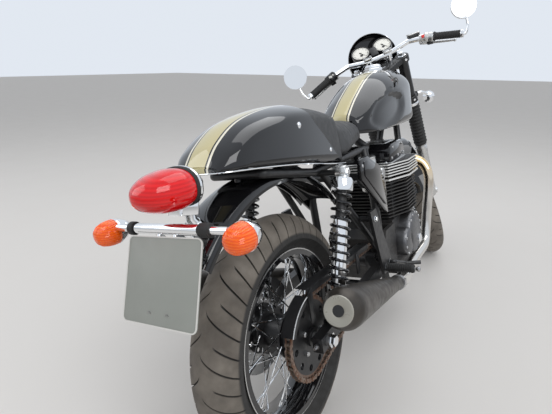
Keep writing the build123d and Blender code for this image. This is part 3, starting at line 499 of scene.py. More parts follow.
def ring_tree():
    """Copies of the incoming mesh turned about the axle line, Count of them, Turn apart."""
    tree, entry, exit_node = new_tree(
        "ring_of_copies", (("Count", "Int"), ("Turn", "Float"), ("Material", "Material")))
    line = added(tree, "GeometryNodeMeshLine", {
        "Count": entry.outputs["Count"], "Offset": (0, 0, 0)})
    index = added(tree, "GeometryNodeInputIndex").outputs[0]
    angle = reckoned(tree, "MULTIPLY", index, entry.outputs["Turn"])
    place = added(tree, "GeometryNodeInstanceOnPoints", {
        "Points": line.outputs[0], "Instance": entry.outputs["Geometry"],
        "Rotation": added(tree, "ShaderNodeCombineXYZ", {"X": angle}).outputs[0]})
    return closing(tree, place.outputs[0], entry, exit_node)


def row_tree():
    """Copies of the incoming mesh in a straight row, Count of them, one Step apart."""
    tree, entry, exit_node = new_tree(
        "row_of_copies", (("Count", "Int"), ("Step", "Vector"), ("Material", "Material")))
    line = added(tree, "GeometryNodeMeshLine", {
        "Count": entry.outputs["Count"], "Offset": entry.outputs["Step"]})
    place = added(tree, "GeometryNodeInstanceOnPoints", {
        "Points": line.outputs[0], "Instance": entry.outputs["Geometry"]})
    return closing(tree, place.outputs[0], entry, exit_node)


def scatter_tree():
    """Copies of the Template object on the incoming points, turned by their turn attribute."""
    tree, entry, exit_node = new_tree(
        "copies_on_points", (("Template", "Object"), ("Material", "Material")))
    template = added(tree, "GeometryNodeObjectInfo", {"Object": entry.outputs["Template"]})
    turn = added(tree, "GeometryNodeInputNamedAttribute", {"Name": "turn"},
                 data_type="FLOAT_VECTOR")
    points = added(tree, "GeometryNodeMeshToPoints", {0: entry.outputs["Geometry"]})
    place = added(tree, "GeometryNodeInstanceOnPoints", {
        "Points": points.outputs[0], "Instance": template.outputs["Geometry"],
        "Rotation": turn.outputs[0]})
    return closing(tree, place.outputs[0], entry, exit_node)


def coil_tree():
    """A round-wire coil that rises along Z."""
    tree, entry, exit_node = new_tree(
        "wire_coil", (("Turns", "Float"), ("Coil radius", "Float"), ("Wire radius", "Float"),
                      ("Height", "Float"), ("Material", "Material")))
    radius = entry.outputs["Coil radius"]
    spiral = added(tree, "GeometryNodeCurveSpiral", {
        "Resolution": 28, "Rotations": entry.outputs["Turns"], "Start Radius": radius,
        "End Radius": radius, "Height": entry.outputs["Height"]})
    wire = added(tree, "GeometryNodeCurvePrimitiveCircle", {
        "Resolution": 10, "Radius": entry.outputs["Wire radius"]})
    skin = added(tree, "GeometryNodeCurveToMesh", {
        "Fill Caps": True, "Curve": spiral.outputs[0], "Profile Curve": wire.outputs[0]})
    return closing(tree, skin.outputs[0], entry, exit_node)


def grown(tree, mesh, values):
    """Runs a geometry tree on a mesh with its named inputs set, and returns the plain mesh."""
    holder = linked("grown", mesh)
    modifier = holder.modifiers.new("grown", "NODES")
    modifier.node_group = tree
    for item in tree.interface.items_tree:
        if item.in_out == "INPUT" and item.name in values:
            modifier[item.identifier] = values[item.name]
    made = baked(holder)
    bpy.data.objects.remove(holder)
    return made


RING = ring_tree()
ROW = row_tree()
SCATTER = scatter_tree()
COIL = coil_tree()


def ring_of(template, count, material, centre=(0, 0, 0)):
    """Copies turned about an axle line through a centre; the template lies about the origin."""
    made = grown(RING, template, {"Count": count, "Turn": 2 * pi / count, "Material": material})
    return moved(made, Matrix.Translation(centre))


def row_of(template, count, step, material):
    """Copies in a straight row."""
    return grown(ROW, template, {"Count": count, "Step": Vector(step), "Material": material})


def scattered(template, places, material):
    """Copies at (place, rotation) pairs; the template lies about the origin."""
    seeds = bpy.data.meshes.new("places")
    seeds.from_pydata([tuple(place) for place, _ in places], [], [])
    turns = seeds.attributes.new("turn", "FLOAT_VECTOR", "POINT")
    for index, (_, rotation) in enumerate(places):
        turns.data[index].vector = rotation.to_euler()
    holder = linked("template", template)
    made = grown(SCATTER, seeds, {"Template": holder, "Material": material})
    bpy.data.objects.remove(holder)
    return made


def piece(name, body, parts, replaces=(), crease=32):
    """Joins meshes into one named piece, puts it in its place and lets it ride its body."""
    joined = bmesh.new()
    materials = []
    for part in parts:
        first = len(joined.faces)
        joined.from_mesh(part)
        joined.faces.ensure_lookup_table()
        held = list(part.materials)
        for face in joined.faces[first:]:
            material = held[min(face.material_index, len(held) - 1)]
            if material not in materials:
                materials.append(material)
            face.material_index = materials.index(material)
    made = bpy.data.meshes.new(name)
    joined.to_mesh(made)
    joined.free()
    for material in materials:
        made.materials.append(material)
    made.transform(PLACE[body])
    made.shade_smooth()
    made.set_sharp_from_angle(angle=radians(crease))
    holder = linked(name, made)
    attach(holder, body)
    if replaces:
        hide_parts(*replaces)
    return holder


def mirrored(maker):
    """What a maker gives for the right side and for the left side."""
    parts = []
    for side in SIDES:
        parts += maker(side)
    return parts


# Tyres: one tread pitch, repeated round the wheel
def tread_pitch(radius, crown, edge, rim_half, count):
    """One pitch of a tyre about the origin: crown with swept grooves, straight walls, beads."""
    hub = radius - crown
    bead = rim_half - 4.5
    groove_depth = 5.0
    tread_edge = 78
    pitch = 2 * pi / count
    half_width = 2.7 / radius
    sweep = radians(10.5)
    # share of the pitch where a groove lies, and the crown angle it starts at, right and left
    grooves = ((0.25, 3, 27), (0.75, 27, 3))
    shoulder = 0.12
    columns = [0.0]
    for middle, *_ in grooves:
        columns.append((middle - shoulder) * pitch)
        for offset in (-1.0, -0.55, 0.55, 1.0):
            columns.append(middle * pitch + offset * half_width)
        columns.append((middle + shoulder) * pitch)
        columns.append((middle + 0.25) * pitch)
    wall = [(bead + 3, edge + 10), (bead, edge + 3), (bead, edge - 10)]
    rows = [(-x, r, -90) for x, r in reversed(wall)]
    for lean in range(-90, 91, 5):
        rows.append((crown * sin(radians(lean)), hub + crown * cos(radians(lean)), lean))
    rows += [(x, r, 90) for x, r in wall]
    vertices = []
    shares = []
    for x, r, lean in rows:
        skew = sweep * (min(abs(lean), tread_edge) / tread_edge) ** 0.65
        side = sin(radians(lean))
        lift = cos(radians(lean))
        for column, angle in enumerate(columns):
            depth = 0.0
            for number, (_, first_right, first_left) in enumerate(grooves):
                # a groove adds seven columns, and the third and fourth of them are its floor
                if column in (3 + 7 * number, 4 + 7 * number):
                    first = first_right if lean > 0 else first_left
                    rise = min(abs(lean) - first, tread_edge + 3 - abs(lean)) / 6
                    depth = groove_depth * max(0.0, min(1.0, rise))
            turn = angle + skew
            sunk = r - depth * lift
            vertices.append((x - depth * side, -sunk * sin(turn), sunk * cos(turn)))
            shares.append(1.0 if abs(lean) < tread_edge and depth < 1 else 0.0)
    across = len(columns)
    faces = []
    for row in range(len(rows)):
        low = row * across
        high = (row + 1) % len(rows) * across
        for column in range(across - 1):
            faces.append((low + column, low + column + 1, high + column + 1, high + column))
    made = bpy.data.meshes.new("tread_pitch")
    made.from_pydata(vertices, [], faces)
    tread = made.attributes.new("tread", "FLOAT", "POINT")
    for index, share in enumerate(shares):
        tread.data[index].value = share
    return made


def tyre(name, body, centre, radius, crown, edge, rim_half, count):
    """A treaded tyre that replaces the plain one."""
    pitch = tread_pitch(radius, crown, edge, rim_half, count)
    made = outward(ring_of(pitch, count, TREAD, centre))
    return piece(name + "_tread", body, [made], replaces=(name,), crease=28)


TREAD_PITCHES = 22
tyre("rear_tyre", "rear_wheel", REAR_AXLE, REAR_RADIUS, REAR_CROWN, REAR_RIM_EDGE, REAR_RIM_HALF,
     TREAD_PITCHES)
tyre("front_tyre", "front_wheel", FRONT_AXLE, FRONT_RADIUS, FRONT_CROWN, FRONT_RIM_EDGE,
     FRONT_RIM_HALF, TREAD_PITCHES)


# Wheels: rims with bright lips, laced spokes with nipples, drilled discs
def wheel_rim(name, body, centre, edge, half):
    """A black drop-centre rim; its two lips have a polished outer edge."""
    seat, well, skin = edge - 12, edge - 26, 5
    profile = [(edge - 1.5, half), (edge, half - 1.5), (edge, half - 3), (edge - 1.5, half - 4),
               (seat, half - 4), (seat, half * 0.45), (well, half * 0.35), (well, -half * 0.35),
               (seat, -half * 0.45), (seat, -half + 4), (edge - 1.5, -half + 4),
               (edge, -half + 3), (edge, -half + 1.5), (edge - 1.5, -half),
               (seat - skin, -half), (well - skin, -half * 0.4), (well - skin, half * 0.4),
               (seat - skin, half)]
    body_mesh = lathe(profile, centre, LEFT_TO_RIGHT, GLOSS_BLACK, 128, ring=True)
    lips = []
    for side in SIDES:
        lip = [(edge + 0.2, side * (half - 1)), (edge + 0.2, side * (half + 0.6)),
               (edge - 2.4, side * (half + 0.6)), (edge - 2.4, side * (half - 1))]
        lips.append(lathe(lip, centre, LEFT_TO_RIGHT, ALLOY, 128, ring=True))
    return piece(name + "_polished", body, [body_mesh] + lips, replaces=(name,))


wheel_rim("rear_rim", "rear_wheel", REAR_AXLE, REAR_RIM_EDGE, REAR_RIM_HALF)
wheel_rim("front_rim", "front_wheel", FRONT_AXLE, FRONT_RIM_EDGE, FRONT_RIM_HALF)


def laced_spokes(name, body, centre, flange_x, flange_radius, rim_radius):
    """Crossed spokes, ten to each flange face, each with its nipple at the rim."""
    per_side = 20
    step = 2 * pi / per_side
    lead = 1.9 * step
    parts = []
    for side in SIDES:
        for face, swing in ((4, 1), (-4, -1)):
            angle = (side < 0) * step + swing * step / 4
            rim_angle = angle + swing * lead
            start = Vector((side * flange_x + face, flange_radius * cos(angle),
                            flange_radius * sin(angle)))
            end = Vector((side * 9 + face * 0.9, rim_radius * cos(rim_angle),
                          rim_radius * sin(rim_angle)))
            run = (end - start).normalized()
            line = [start, end - run * 15, end - run * 14, end]
            spoke = tube(line, [1.9, 1.9, 3.6, 3.6], CHROME, sides=8)
            parts.append(ring_of(spoke, per_side // 2, CHROME, centre))
    return piece(name + "_laced", body, parts, replaces=(name,))


NIPPLE_DEPTH = 30
laced_spokes("rear_spokes", "rear_wheel", REAR_AXLE, 33, 60, REAR_RIM_EDGE - NIPPLE_DEPTH)
laced_spokes("front_spokes", "front_wheel", FRONT_AXLE, 31, 52, FRONT_RIM_EDGE - NIPPLE_DEPTH)


def drilled_ring(inner, outer, hole, hole_radius, low, high, count, material):
    """A flat ring pierced by a circle of holes, from one pierced sector repeated."""
    half = pi / count
    steps = 6
    edge = [(outer, -half + 2 * half * step / steps) for step in range(steps)]
    edge += [(outer + (inner - outer) * step / steps, half) for step in range(steps)]
    edge += [(inner, half - 2 * half * step / steps) for step in range(steps)]
    edge += [(inner + (outer - inner) * step / steps, -half) for step in range(steps)]
    border = [(r * cos(a), r * sin(a)) for r, a in edge]
    total = len(border)
    bore = []
    for u, v in border:
        aim = atan2(v, u - hole)
        bore.append((hole + hole_radius * cos(aim), hole_radius * sin(aim)))
    vertices = []
    for x in (low, high):
        vertices += [(x, u, v) for u, v in border] + [(x, u, v) for u, v in bore]
    faces = []
    for index in range(total):
        after = (index + 1) % total
        faces.append((index, after, total + after, total + index))
        faces.append((2 * total + index, 3 * total + index, 3 * total + after, 2 * total + after))
        faces.append((total + index, total + after, 3 * total + after, 3 * total + index))
        if index < steps or 2 * steps <= index < 3 * steps:
            faces.append((index, 2 * total + index, 2 * total + after, after))
    sector = bpy.data.meshes.new("sector")
    sector.from_pydata(vertices, [], faces)
    made = ring_of(sector, count, material)
    return form([place.co.copy() for place in made.vertices],
                [tuple(face.vertices) for face in made.polygons], material)


def disc(name, body, centre, low, high, inner, outer, bolts):
    """A brake disc with two rows of cooling holes and its bolts."""
    middle = (inner + outer) / 2
    carrier = middle - 18
    rows = ((middle, outer, middle + 9, 3.2, 30, STEEL),
            (carrier, middle, middle - 9, 3.2, 24, STEEL),
            (inner, carrier, (inner + carrier) / 2, 8, 9, SATIN_BLACK))
    parts = [moved(drilled_ring(inside, outside, hole, radius, low, high, count, material),
                   Matrix.Translation(centre))
             for inside, outside, hole, radius, count, material in rows]
    bolt = lathe([(AXIS, 4), (6, 3), (6, 0)], (low, inner + 6, 0), (-1, 0, 0), CHROME, 6)
    parts.append(ring_of(bolt, bolts, CHROME, centre))
    return piece(name + "_drilled", body, parts, replaces=(name,))


disc("rear_disc", "rear_wheel", REAR_AXLE, -69, -64, 49, 127, 5)
disc("front_disc", "front_wheel", FRONT_AXLE, -67, -62, 47, 155, 5)

# Rear sprocket with teeth that end between the chain's rollers
REAR_PITCH_RADIUS = CHAIN_PITCH / (2 * sin(pi / REAR_TEETH))
FRONT_PITCH_RADIUS = CHAIN_PITCH / (2 * sin(pi / FRONT_TEETH))


def toothed(pitch_radius, teeth, low, high, material):
    """A ring of teeth about the origin, from one tooth repeated."""
    half = pi / teeth
    root, tip = pitch_radius - 7.2, pitch_radius - 0.5
    outline = [(root - 6, -half), (root, -half), (root, -half * 0.62), (tip, -half * 0.2),
               (tip, half * 0.2), (root, half * 0.62), (root, half), (root - 6, half)]
    count = len(outline)
    vertices = [(x, r * cos(a), r * sin(a)) for x in (low, high) for r, a in outline]
    faces = [tuple(range(count)), tuple(range(2 * count - 1, count - 1, -1))]
    for index in range(1, count - 2):
        faces.append((index, count + index, count + index + 1, index + 1))
    faces.append((count - 1, 2 * count - 1, count, 0))
    tooth = bpy.data.meshes.new("tooth")
    tooth.from_pydata(vertices, [], faces)
    return ring_of(tooth, teeth, material)


sprocket_at = Matrix.Translation(REAR_AXLE)
piece("rear_sprocket_toothed", "rear_wheel", [
    moved(toothed(REAR_PITCH_RADIUS, REAR_TEETH, CHAIN_PLANE - 2.5, CHAIN_PLANE + 2.5,
                  CHAIN_STEEL), sprocket_at),
    moved(drilled_ring(62, REAR_PITCH_RADIUS - 13, 80, 9, CHAIN_PLANE - 3.5, CHAIN_PLANE + 3.5,
                       10, SATIN_BLACK), sprocket_at),
    lathe([(24, CHAIN_PLANE - 3.5), (62.2, CHAIN_PLANE - 3.5), (62.2, CHAIN_PLANE + 3.5),
           (24, CHAIN_PLANE + 3.5)], REAR_AXLE, LEFT_TO_RIGHT, SATIN_BLACK, 64, ring=True),
    ring_of(lathe([(AXIS, 9), (5, 8.5), (7, 6), (7, 0)], (CHAIN_PLANE + 3.5, 46, 0), LEFT_TO_RIGHT,
                  STEEL, 6), 5, STEEL, REAR_AXLE),
], replaces=("rear_sprocket",))

# Chain: rollers and plates along the pitch line
centre_gap = hypot(OUTPUT_SHAFT.y, OUTPUT_SHAFT.z - REAR_AXLE.z)
chain_tilt = atan2(OUTPUT_SHAFT.z - REAR_AXLE.z, OUTPUT_SHAFT.y)
half_wrap = asin((REAR_PITCH_RADIUS - FRONT_PITCH_RADIUS) / centre_gap)
straight = centre_gap * cos(half_wrap)
rear_arc = (pi + 2 * half_wrap) * REAR_PITCH_RADIUS
front_arc = (pi - 2 * half_wrap) * FRONT_PITCH_RADIUS
loop_length = 2 * straight + rear_arc + front_arc


def chain_point(travel):
    """A point on the chain's pitch line, after so much travel from the top run's rear end."""
    travel = travel % loop_length
    if travel < straight:
        y = REAR_PITCH_RADIUS * sin(half_wrap) + travel * cos(half_wrap)
        z = REAR_PITCH_RADIUS * cos(half_wrap) - travel * sin(half_wrap)
    elif travel < straight + front_arc:
        turn = pi / 2 - half_wrap - (travel - straight) / FRONT_PITCH_RADIUS
        y = centre_gap + FRONT_PITCH_RADIUS * cos(turn)
        z = FRONT_PITCH_RADIUS * sin(turn)
    elif travel < 2 * straight + front_arc:
        left = travel - straight - front_arc
        y = centre_gap + FRONT_PITCH_RADIUS * sin(half_wrap) - left * cos(half_wrap)
        z = -FRONT_PITCH_RADIUS * cos(half_wrap) - left * sin(half_wrap)
    else:
        turn = -pi / 2 + half_wrap - (travel - 2 * straight - front_arc) / REAR_PITCH_RADIUS
        y = REAR_PITCH_RADIUS * cos(turn)
        z = REAR_PITCH_RADIUS * sin(turn)
    return Vector((0, y * cos(chain_tilt) - z * sin(chain_tilt),
                   REAR_AXLE.z + y * sin(chain_tilt) + z * cos(chain_tilt)))


def link_plates(inner, thick):
    """A pair of waisted plates about the origin, their pins along X."""
    half = CHAIN_PITCH / 2
    outline = []
    for sign in SIDES:
        for step in range(7):
            angle = -pi / 2 + pi * step / 6
            outline.append((sign * (half + 6.4 * cos(angle)), sign * 6.4 * sin(angle)))
        outline.append((0, sign * 4.2))
    plates = []
    for low in (inner, -inner - thick):
        plates.append(slab(outline, thick, across_plane(low), CHAIN_STEEL, bevel=0.4))
    return plates


def joined(meshes):
    """Several meshes of one material as one mesh."""
    body = bmesh.new()
    for mesh in meshes:
        body.from_mesh(mesh)
    made = bpy.data.meshes.new("joined")
    body.to_mesh(made)
    body.free()
    made.materials.append(meshes[0].materials[0])
    return made


inner_places, outer_places, roller_places = [], [], []
for link in range(CHAIN_LINKS):
    start = chain_point(link * loop_length / CHAIN_LINKS)
    end = chain_point((link + 1) * loop_length / CHAIN_LINKS)
    middle = (start + end) / 2 + Vector((CHAIN_PLANE, 0, 0))
    turn = Matrix.Rotation(atan2((end - start).z, (end - start).y), 4, "X")
    (outer_places if link % 2 else inner_places).append((middle, turn))
    roller_places.append((start + Vector((CHAIN_PLANE, 0, 0)), turn))
roller = spun([(1.8, -10), (1.8, -5.2), (5, -5), (5, 5), (1.8, 5.2), (1.8, 10)], (0, 0, 0),
              LEFT_TO_RIGHT, ROLLER_STEEL, 12)
piece("chain_links", "frame", [
    scattered(joined(link_plates(5.2, 1.6)), inner_places, CHAIN_STEEL),
    scattered(joined(link_plates(7.0, 1.6)), outer_places, CHAIN_STEEL),
    scattered(roller, roller_places, ROLLER_STEEL),
], replaces=("chain",))

# Shocks: wound springs, collars and caps
SHOCK_TOP = Vector((150, 186, 715))
SHOCK_FOOT = Vector((150, 52, 374))
shock_run = SHOCK_TOP - SHOCK_FOOT
shock_length = shock_run.length


def shock_spring(side):
    """One wound spring on its damper."""
    seat_share, head_share = 0.13, 0.86
    foot = on_side(SHOCK_FOOT, side) + shock_run * seat_share
    height = shock_length * (head_share - seat_share) - 7
    main = grown(COIL, bpy.data.meshes.new("seed"), {
        "Turns": 12.0, "Coil radius": 24.2, "Wire radius": 3.9, "Height": height,
        "Material": GLOSS_BLACK})
    turn = shock_run.to_track_quat("Z", "Y").to_matrix().to_4x4()
    return [moved(main, Matrix.Translation(foot + shock_run.normalized() * 3.8) @ turn)]


piece("spring_coils", "frame", mirrored(shock_spring), replaces=("shock_springs",))


def damper(side):
    """Damper body, spring seats, top cap and the two eyes with their rubber bushes."""
    foot = on_side(SHOCK_FOOT, side)
    top = foot + shock_run
    out = Vector((side, 0, 0))

    def along_shock(maker, profile, material, steps):
        """A turned form whose distances are shares of the shock's length."""
        lengths = [(radius, share * shock_length) for radius, share in profile]
        return maker(lengths, foot, shock_run.normalized(), material, steps)

    parts = [
        along_shock(lathe, [(AXIS, 0.03), (14, 0.04), (19.6, 0.07), (19.6, 0.66), (16, 0.67)],
                    CHROME, 32),
        along_shock(lathe, [(14, 0.66), (14, 0.86)], ENGINE_BLACK, 32),
        along_shock(spun, [(15, 0.10), (29, 0.10), (31, 0.11), (31, 0.125), (28, 0.13), (15, 0.13)],
                    ALLOY, 40),
        along_shock(spun, [(15, 0.86), (29, 0.86), (30, 0.87), (30, 0.935), (26, 0.955),
                           (15, 0.97)], CHROME, 40),
    ]
    eye = [(9, -14), (17, -14), (18, -12), (18, 12), (17, 14), (9, 14)]
    for end in (foot, top):
        parts.append(lathe(eye, end, LEFT_TO_RIGHT, ALLOY, 32, ring=True))
    for end in (foot, top):
        parts.append(lathe([(11, 14), (11, 17), (8, 20), (AXIS, 20.5)], end, out, CHROME, 6))
        parts.append(lathe([(9, -13), (9, 15)], end, out, RUBBER, 24))
    return parts


piece("dampers", "frame", mirrored(damper), replaces=("shock_dampers",))

# Bodywork
def body_ring(row, count=72):
    """A body section as a ring: flat foot, straight sides and arched crown, softly cornered."""
    y, low_half, low_z, high_half, high_z, top_z = row
    rise = top_z - high_z
    radius = (high_half ** 2 + rise ** 2) / (2 * rise)
    reach = asin(min(1.0, high_half / radius))
    corners = [(0, low_z), (low_half, low_z), (high_half, high_z)]
    for step in range(1, 20):
        angle = reach * (1 - step / 10)
        corners.append((radius * sin(angle), top_z - radius + radius * cos(angle)))
    corners += [(-high_half, high_z), (-low_half, low_z), (0, low_z)]
    lengths = [0.0]
    for before, after in zip(corners, corners[1:]):
        lengths.append(lengths[-1] + hypot(after[0] - before[0], after[1] - before[1]))
    ring = []
    span = 0
    for index in range(count):
        travel = lengths[-1] * index / count
        while lengths[span + 1] < travel:
            span += 1
        share = (travel - lengths[span]) / (lengths[span + 1] - lengths[span])
        before, after = corners[span], corners[span + 1]
        ring.append([before[0] + (after[0] - before[0]) * share,
                     before[1] + (after[1] - before[1]) * share])
    for _ in range(3):
        ring = [[(ring[index - 1][axis] + 2 * ring[index][axis]
                  + ring[(index + 1) % count][axis]) / 4 for axis in (0, 1)]
                for index in range(count)]
    return [Vector((x, y, z)) for x, z in ring]


def body_skin(rows, material, parts=7, round_ends=0.0):
    """A smooth skin through body sections."""
    rings = smooth_rings([body_ring(row) for row in rows], parts)
    if round_ends:
        for end, inward in ((0, 1), (-1, -1)):
            ring = rings[end]
            middle = sum(ring, Vector()) / len(ring)
            lip = [middle + (place - middle) * (1 - round_ends / 60) for place in ring]
            ring_in = [place + Vector((0, inward * round_ends / 2, 0)) for place in ring]
            if end == 0:
                rings = [lip, ring_in] + rings[1:]
            else:
                rings = rings[:-1] + [ring_in, lip]
    return loft(rings, material)


def cut_out(mesh, cutter):
    """The mesh with a closed cutter taken away."""
    holder = linked("cut", mesh)
    tool = linked("cutter", cutter)
    modifier = holder.modifiers.new("cut", "BOOLEAN")
    modifier.operation = "DIFFERENCE"
    modifier.solver = "EXACT"
    modifier.object = tool
    modifier.material_mode = "TRANSFER"
    made = baked(holder)
    bpy.data.objects.remove(holder)
    bpy.data.objects.remove(tool)
    return made


TANK = (
    # y, foot half width, foot z, shoulder half width, shoulder z, crown z
    (545, 60, 780, 62, 815, 846),
    (640, 112, 772, 112, 852, 908),
    (800, 132, 772, 132, 900, 980),
    (980, 134, 776, 130, 930, 1004),
    (1036, 116, 790, 114, 916, 984),
    (1098, 88, 838, 86, 870, 920),
)
KNEE_MIDDLE = (735, 838)
KNEE_REACH = (150, 62)
KNEE_SLOPE = 0.16
KNEE_DEPTH = 13
tank_skin = body_skin(TANK, PAINT, parts=10, round_ends=8)
for place in tank_skin.vertices:
    along = (place.co.y - KNEE_MIDDLE[0]) / KNEE_REACH[0]
    slope = KNEE_SLOPE * (place.co.y - KNEE_MIDDLE[0])
    up = (place.co.z - KNEE_MIDDLE[1] - slope) / KNEE_REACH[1]
    dent = min(1.0, max(0.0, 1 - along ** 2 - up ** 2) * 2.2)
    if abs(place.co.x) > 40:
        place.co.x -= KNEE_DEPTH * dent * dent * (3 - 2 * dent) * (1 if place.co.x > 0 else -1)
tunnel = cross_plate([(500, 700), (500, 816), (990, 920), (1044, 1100), (1200, 1100),
                      (1200, 700)], 46, GLOSS_BLACK)
CAP_PLACE = Vector((0, 940, 1004))
cap = [
    lathe([(33, 0), (33, 9), (31, 11), (30, 14), (27, 16.5), (12, 18)], CAP_PLACE, (0, 0, 1),
          CHROME, 64),
    lathe([(26, -9), (38, -9), (38, 1), (36, 2.5), (26, 2.5)], CAP_PLACE, (0, 0, 1), CHROME, 64,
          ring=True),
]
piece("fuel_tank_painted", "frame", [cut_out(tank_skin, tunnel)], replaces=("fuel_tank",),
      crease=40)
piece("fuel_cap_chromed", "frame", cap, replaces=("fuel_cap",))

COWL = (
    # y, foot half width, foot z, shoulder half width, shoulder z, crown z
    (-206, 56, 798, 54, 804, 810),
    (-162, 90, 794, 82, 832, 854),
    (-76, 104, 784, 96, 866, 895),
    (60, 114, 764, 104, 882, 914),
    (200, 114, 738, 104, 876, 910),
    (300, 112, 722, 100, 858, 892),
)
# The cowl's front edge slants back from its foot, and a padded stop fills the space before it
COWL_EDGE = [(296, 716), (246, 760), (190, 818), (152, 852), (134, 876), (130, 940)]
cowl_skin = body_skin(COWL, PAINT, parts=10, round_ends=6)
COWL_UNDER = 800
cowl_hollow = cross_plate([(-140, 690), (310, 690), (310, COWL_UNDER), (-140, COWL_UNDER)], 90,
                          SATIN_BLACK)
cowl_front = cross_plate(COWL_EDGE + [(360, 940), (360, 716)], 140, GLOSS_BLACK)
STOP_INSET = 4
STOP_LIFT = 2
STOP_SINK = 8
STOP = [(y, foot - STOP_INSET, low + STOP_LIFT, shoulder - STOP_INSET, high - STOP_INSET,
         crown - STOP_SINK) for y, foot, low, shoulder, high, crown in COWL[2:]]
stop_skin = body_skin(STOP, VINYL, parts=8, round_ends=10)
behind_edge = cross_plate([(y + 1, z) for y, z in COWL_EDGE] + [(-300, 940), (-300, 716)], 140,
                          VINYL)
stop_under = COWL_UNDER + STOP_LIFT
under_stop = cross_plate([(-140, 690), (310, 690), (310, stop_under), (-140, stop_under)], 86,
                         VINYL)
lip_line = [(row[1] + 0.5, row[0], row[2] - 1) for row in reversed(COWL)]
lip_line += [(-x, y, z) for x, y, z in reversed(lip_line)]
cowl_bolts = [(Vector((side * x, y, z)), Matrix.Rotation(side * pi / 2, 4, "Y"))
              for side in SIDES for x, y, z in ((110, 216, 774), (107, 66, 858))]
dome_bolt = lathe([(AXIS, 4), (4, 3.4), (6.5, 1), (6.5, 0), (8, 0), (8, -5)], (0, 0, 0), (0, 0, 1),
                  CHROME, 12)
piece("seat_cowl_painted", "frame", [
    cut_out(cut_out(cowl_skin, cowl_hollow), cowl_front),
    cut_out(cut_out(stop_skin, under_stop), behind_edge),
    tube(smooth_line(lip_line, 5), 1.6, CHROME, 8),
    scattered(dome_bolt, cowl_bolts, CHROME),
], replaces=("seat_cowl",), crease=40)

# Seat: a padded cover with its cross seams
SEAT_ROWS = (
    # y, foot half width, foot z, shoulder half width, shoulder z, crown z
    (304, 106, 744, 88, 832, 861),
    (380, 108, 744, 92, 816, 845),
    (536, 80, 762, 70, 806, 831),
)
SEAT_SWELL = 6.0
SEAT_VOXEL = 6.0
CLOTH_FRAMES = 20
SEAM_PLACES = (352, 404, 456)
SEAM_DEPTH = 3.5
SEAM_WIDTH = 6
SEAM_FLOOR = 790


def padded_seat():
    """The seat pad: remeshed and blown up a little by a cloth run."""
    skin = body_skin(SEAT_ROWS, VINYL, parts=8, round_ends=10)
    skin.transform(MILLIMETRES)
    holder = linked("pad", skin)
    remesh = holder.modifiers.new("remesh", "REMESH")
    remesh.mode = "VOXEL"
    remesh.voxel_size = SEAT_VOXEL * 0.001
    start = baked(holder)
    holder.modifiers.clear()
    holder.data = start
    rest = [place.co.copy() for place in start.vertices]
    cloth = holder.modifiers.new("cloth", "CLOTH")
    cloth.settings.use_pressure = True
    cloth.settings.uniform_pressure_force = 4.0
    cloth.settings.effector_weights.gravity = 0.0
    cloth.settings.quality = 5
    for number in range(1, CLOTH_FRAMES + 1):
        bpy.context.scene.frame_set(number)
    blown = baked(holder)
    for place, before in zip(blown.vertices, rest):
        shift = place.co - before
        if shift.length > SEAT_SWELL * 0.001:
            place.co = before + shift.normalized() * SEAT_SWELL * 0.001
    holder.modifiers.clear()
    bpy.context.scene.frame_set(1)
    holder.data = blown
    smooth = holder.modifiers.new("smooth", "SMOOTH")
    smooth.iterations = 4
    finer = holder.modifiers.new("finer", "SUBSURF")
    finer.levels = 1
    finer.render_levels = 1
    made = baked(holder)
    bpy.data.objects.remove(holder)
    made.transform(Matrix.Scale(1000, 4))
    made.materials.clear()
    made.materials.append(VINYL)
    return made


def sunk_seam(mesh, y):
    """Presses a cross seam into the top of a pad."""
    for place in mesh.vertices:
        gap = abs(place.co.y - y) / SEAM_WIDTH
        if gap < 1 and place.co.z > SEAM_FLOOR:
            place.co.z -= SEAM_DEPTH * (1 - gap) ** 2


pad = padded_seat()
for seam_y in SEAM_PLACES:
    sunk_seam(pad, seam_y)
seat_piece = piece("seat_pad", "frame", [pad], replaces=("seat",), crease=80)

SIDE_COVER = [(330, 722), (392, 724), (495, 675), (538, 612), (535, 500), (500, 520), (330, 660)]


def side_cover(side):
    """A side cover with soft edges, its raised panel and its two screws."""
    low = 132.3 if side > 0 else -146.3
    panel = [(352, 712), (388, 712), (480, 668), (520, 608), (518, 534), (500, 545), (352, 668)]
    parts = [slab(SIDE_COVER, 14, across_plane(low), GLOSS_BLACK, bevel=4),
             slab(panel, 5, across_plane(145 if side > 0 else -150), GLOSS_BLACK, bevel=2)]
    for y, z in ((344, 700), (512, 640)):
        parts.append(lathe([(AXIS, 3), (5, 2.4), (6, 0)], (side * 146, y, z), (side, 0, 0),
                           STEEL, 16))
    return parts


piece("side_covers_painted", "frame", mirrored(side_cover), replaces=("side_covers",))


def arc_shell(profile, centre, start, arc, material, steps=40):
    """A closed (x, radius) profile turned part way about an axle; 0 is up, rearward is more."""
    rings = []
    for step in range(steps + 1):
        angle = radians(start + arc * step / steps)
        rings.append([Vector(centre) + Vector((x, -r * sin(angle), r * cos(angle)))
                      for x, r in profile])
    return loft(rings, material)


def fender_profile(half, radius, skirt, skin, crown):
    """A fender's section: a rounded crown over short skirts, one skin thick."""
    outer = [(half, radius - skirt)] if skirt > crown else []
    for step in range(-12, 13):
        angle = pi / 2 * step / 12
        outer.append((-half * sin(angle), radius - crown * (1 - abs(cos(angle)) ** 0.45)))
    outer += [(-half, radius - skirt)] if skirt > crown else []
    inner = []
    for x, r in reversed(outer):
        inner.append((x * (half - skin) / half, r - (skin if r > radius - skirt + 1 else 0)))
    return outer + inner


piece("rear_fender_rolled", "frame", [
    arc_shell(fender_profile(62, REAR_FENDER_RADIUS, 30, 3.5, 24), REAR_AXLE, -48, 92,
              GLOSS_BLACK),
], replaces=("rear_fender",))


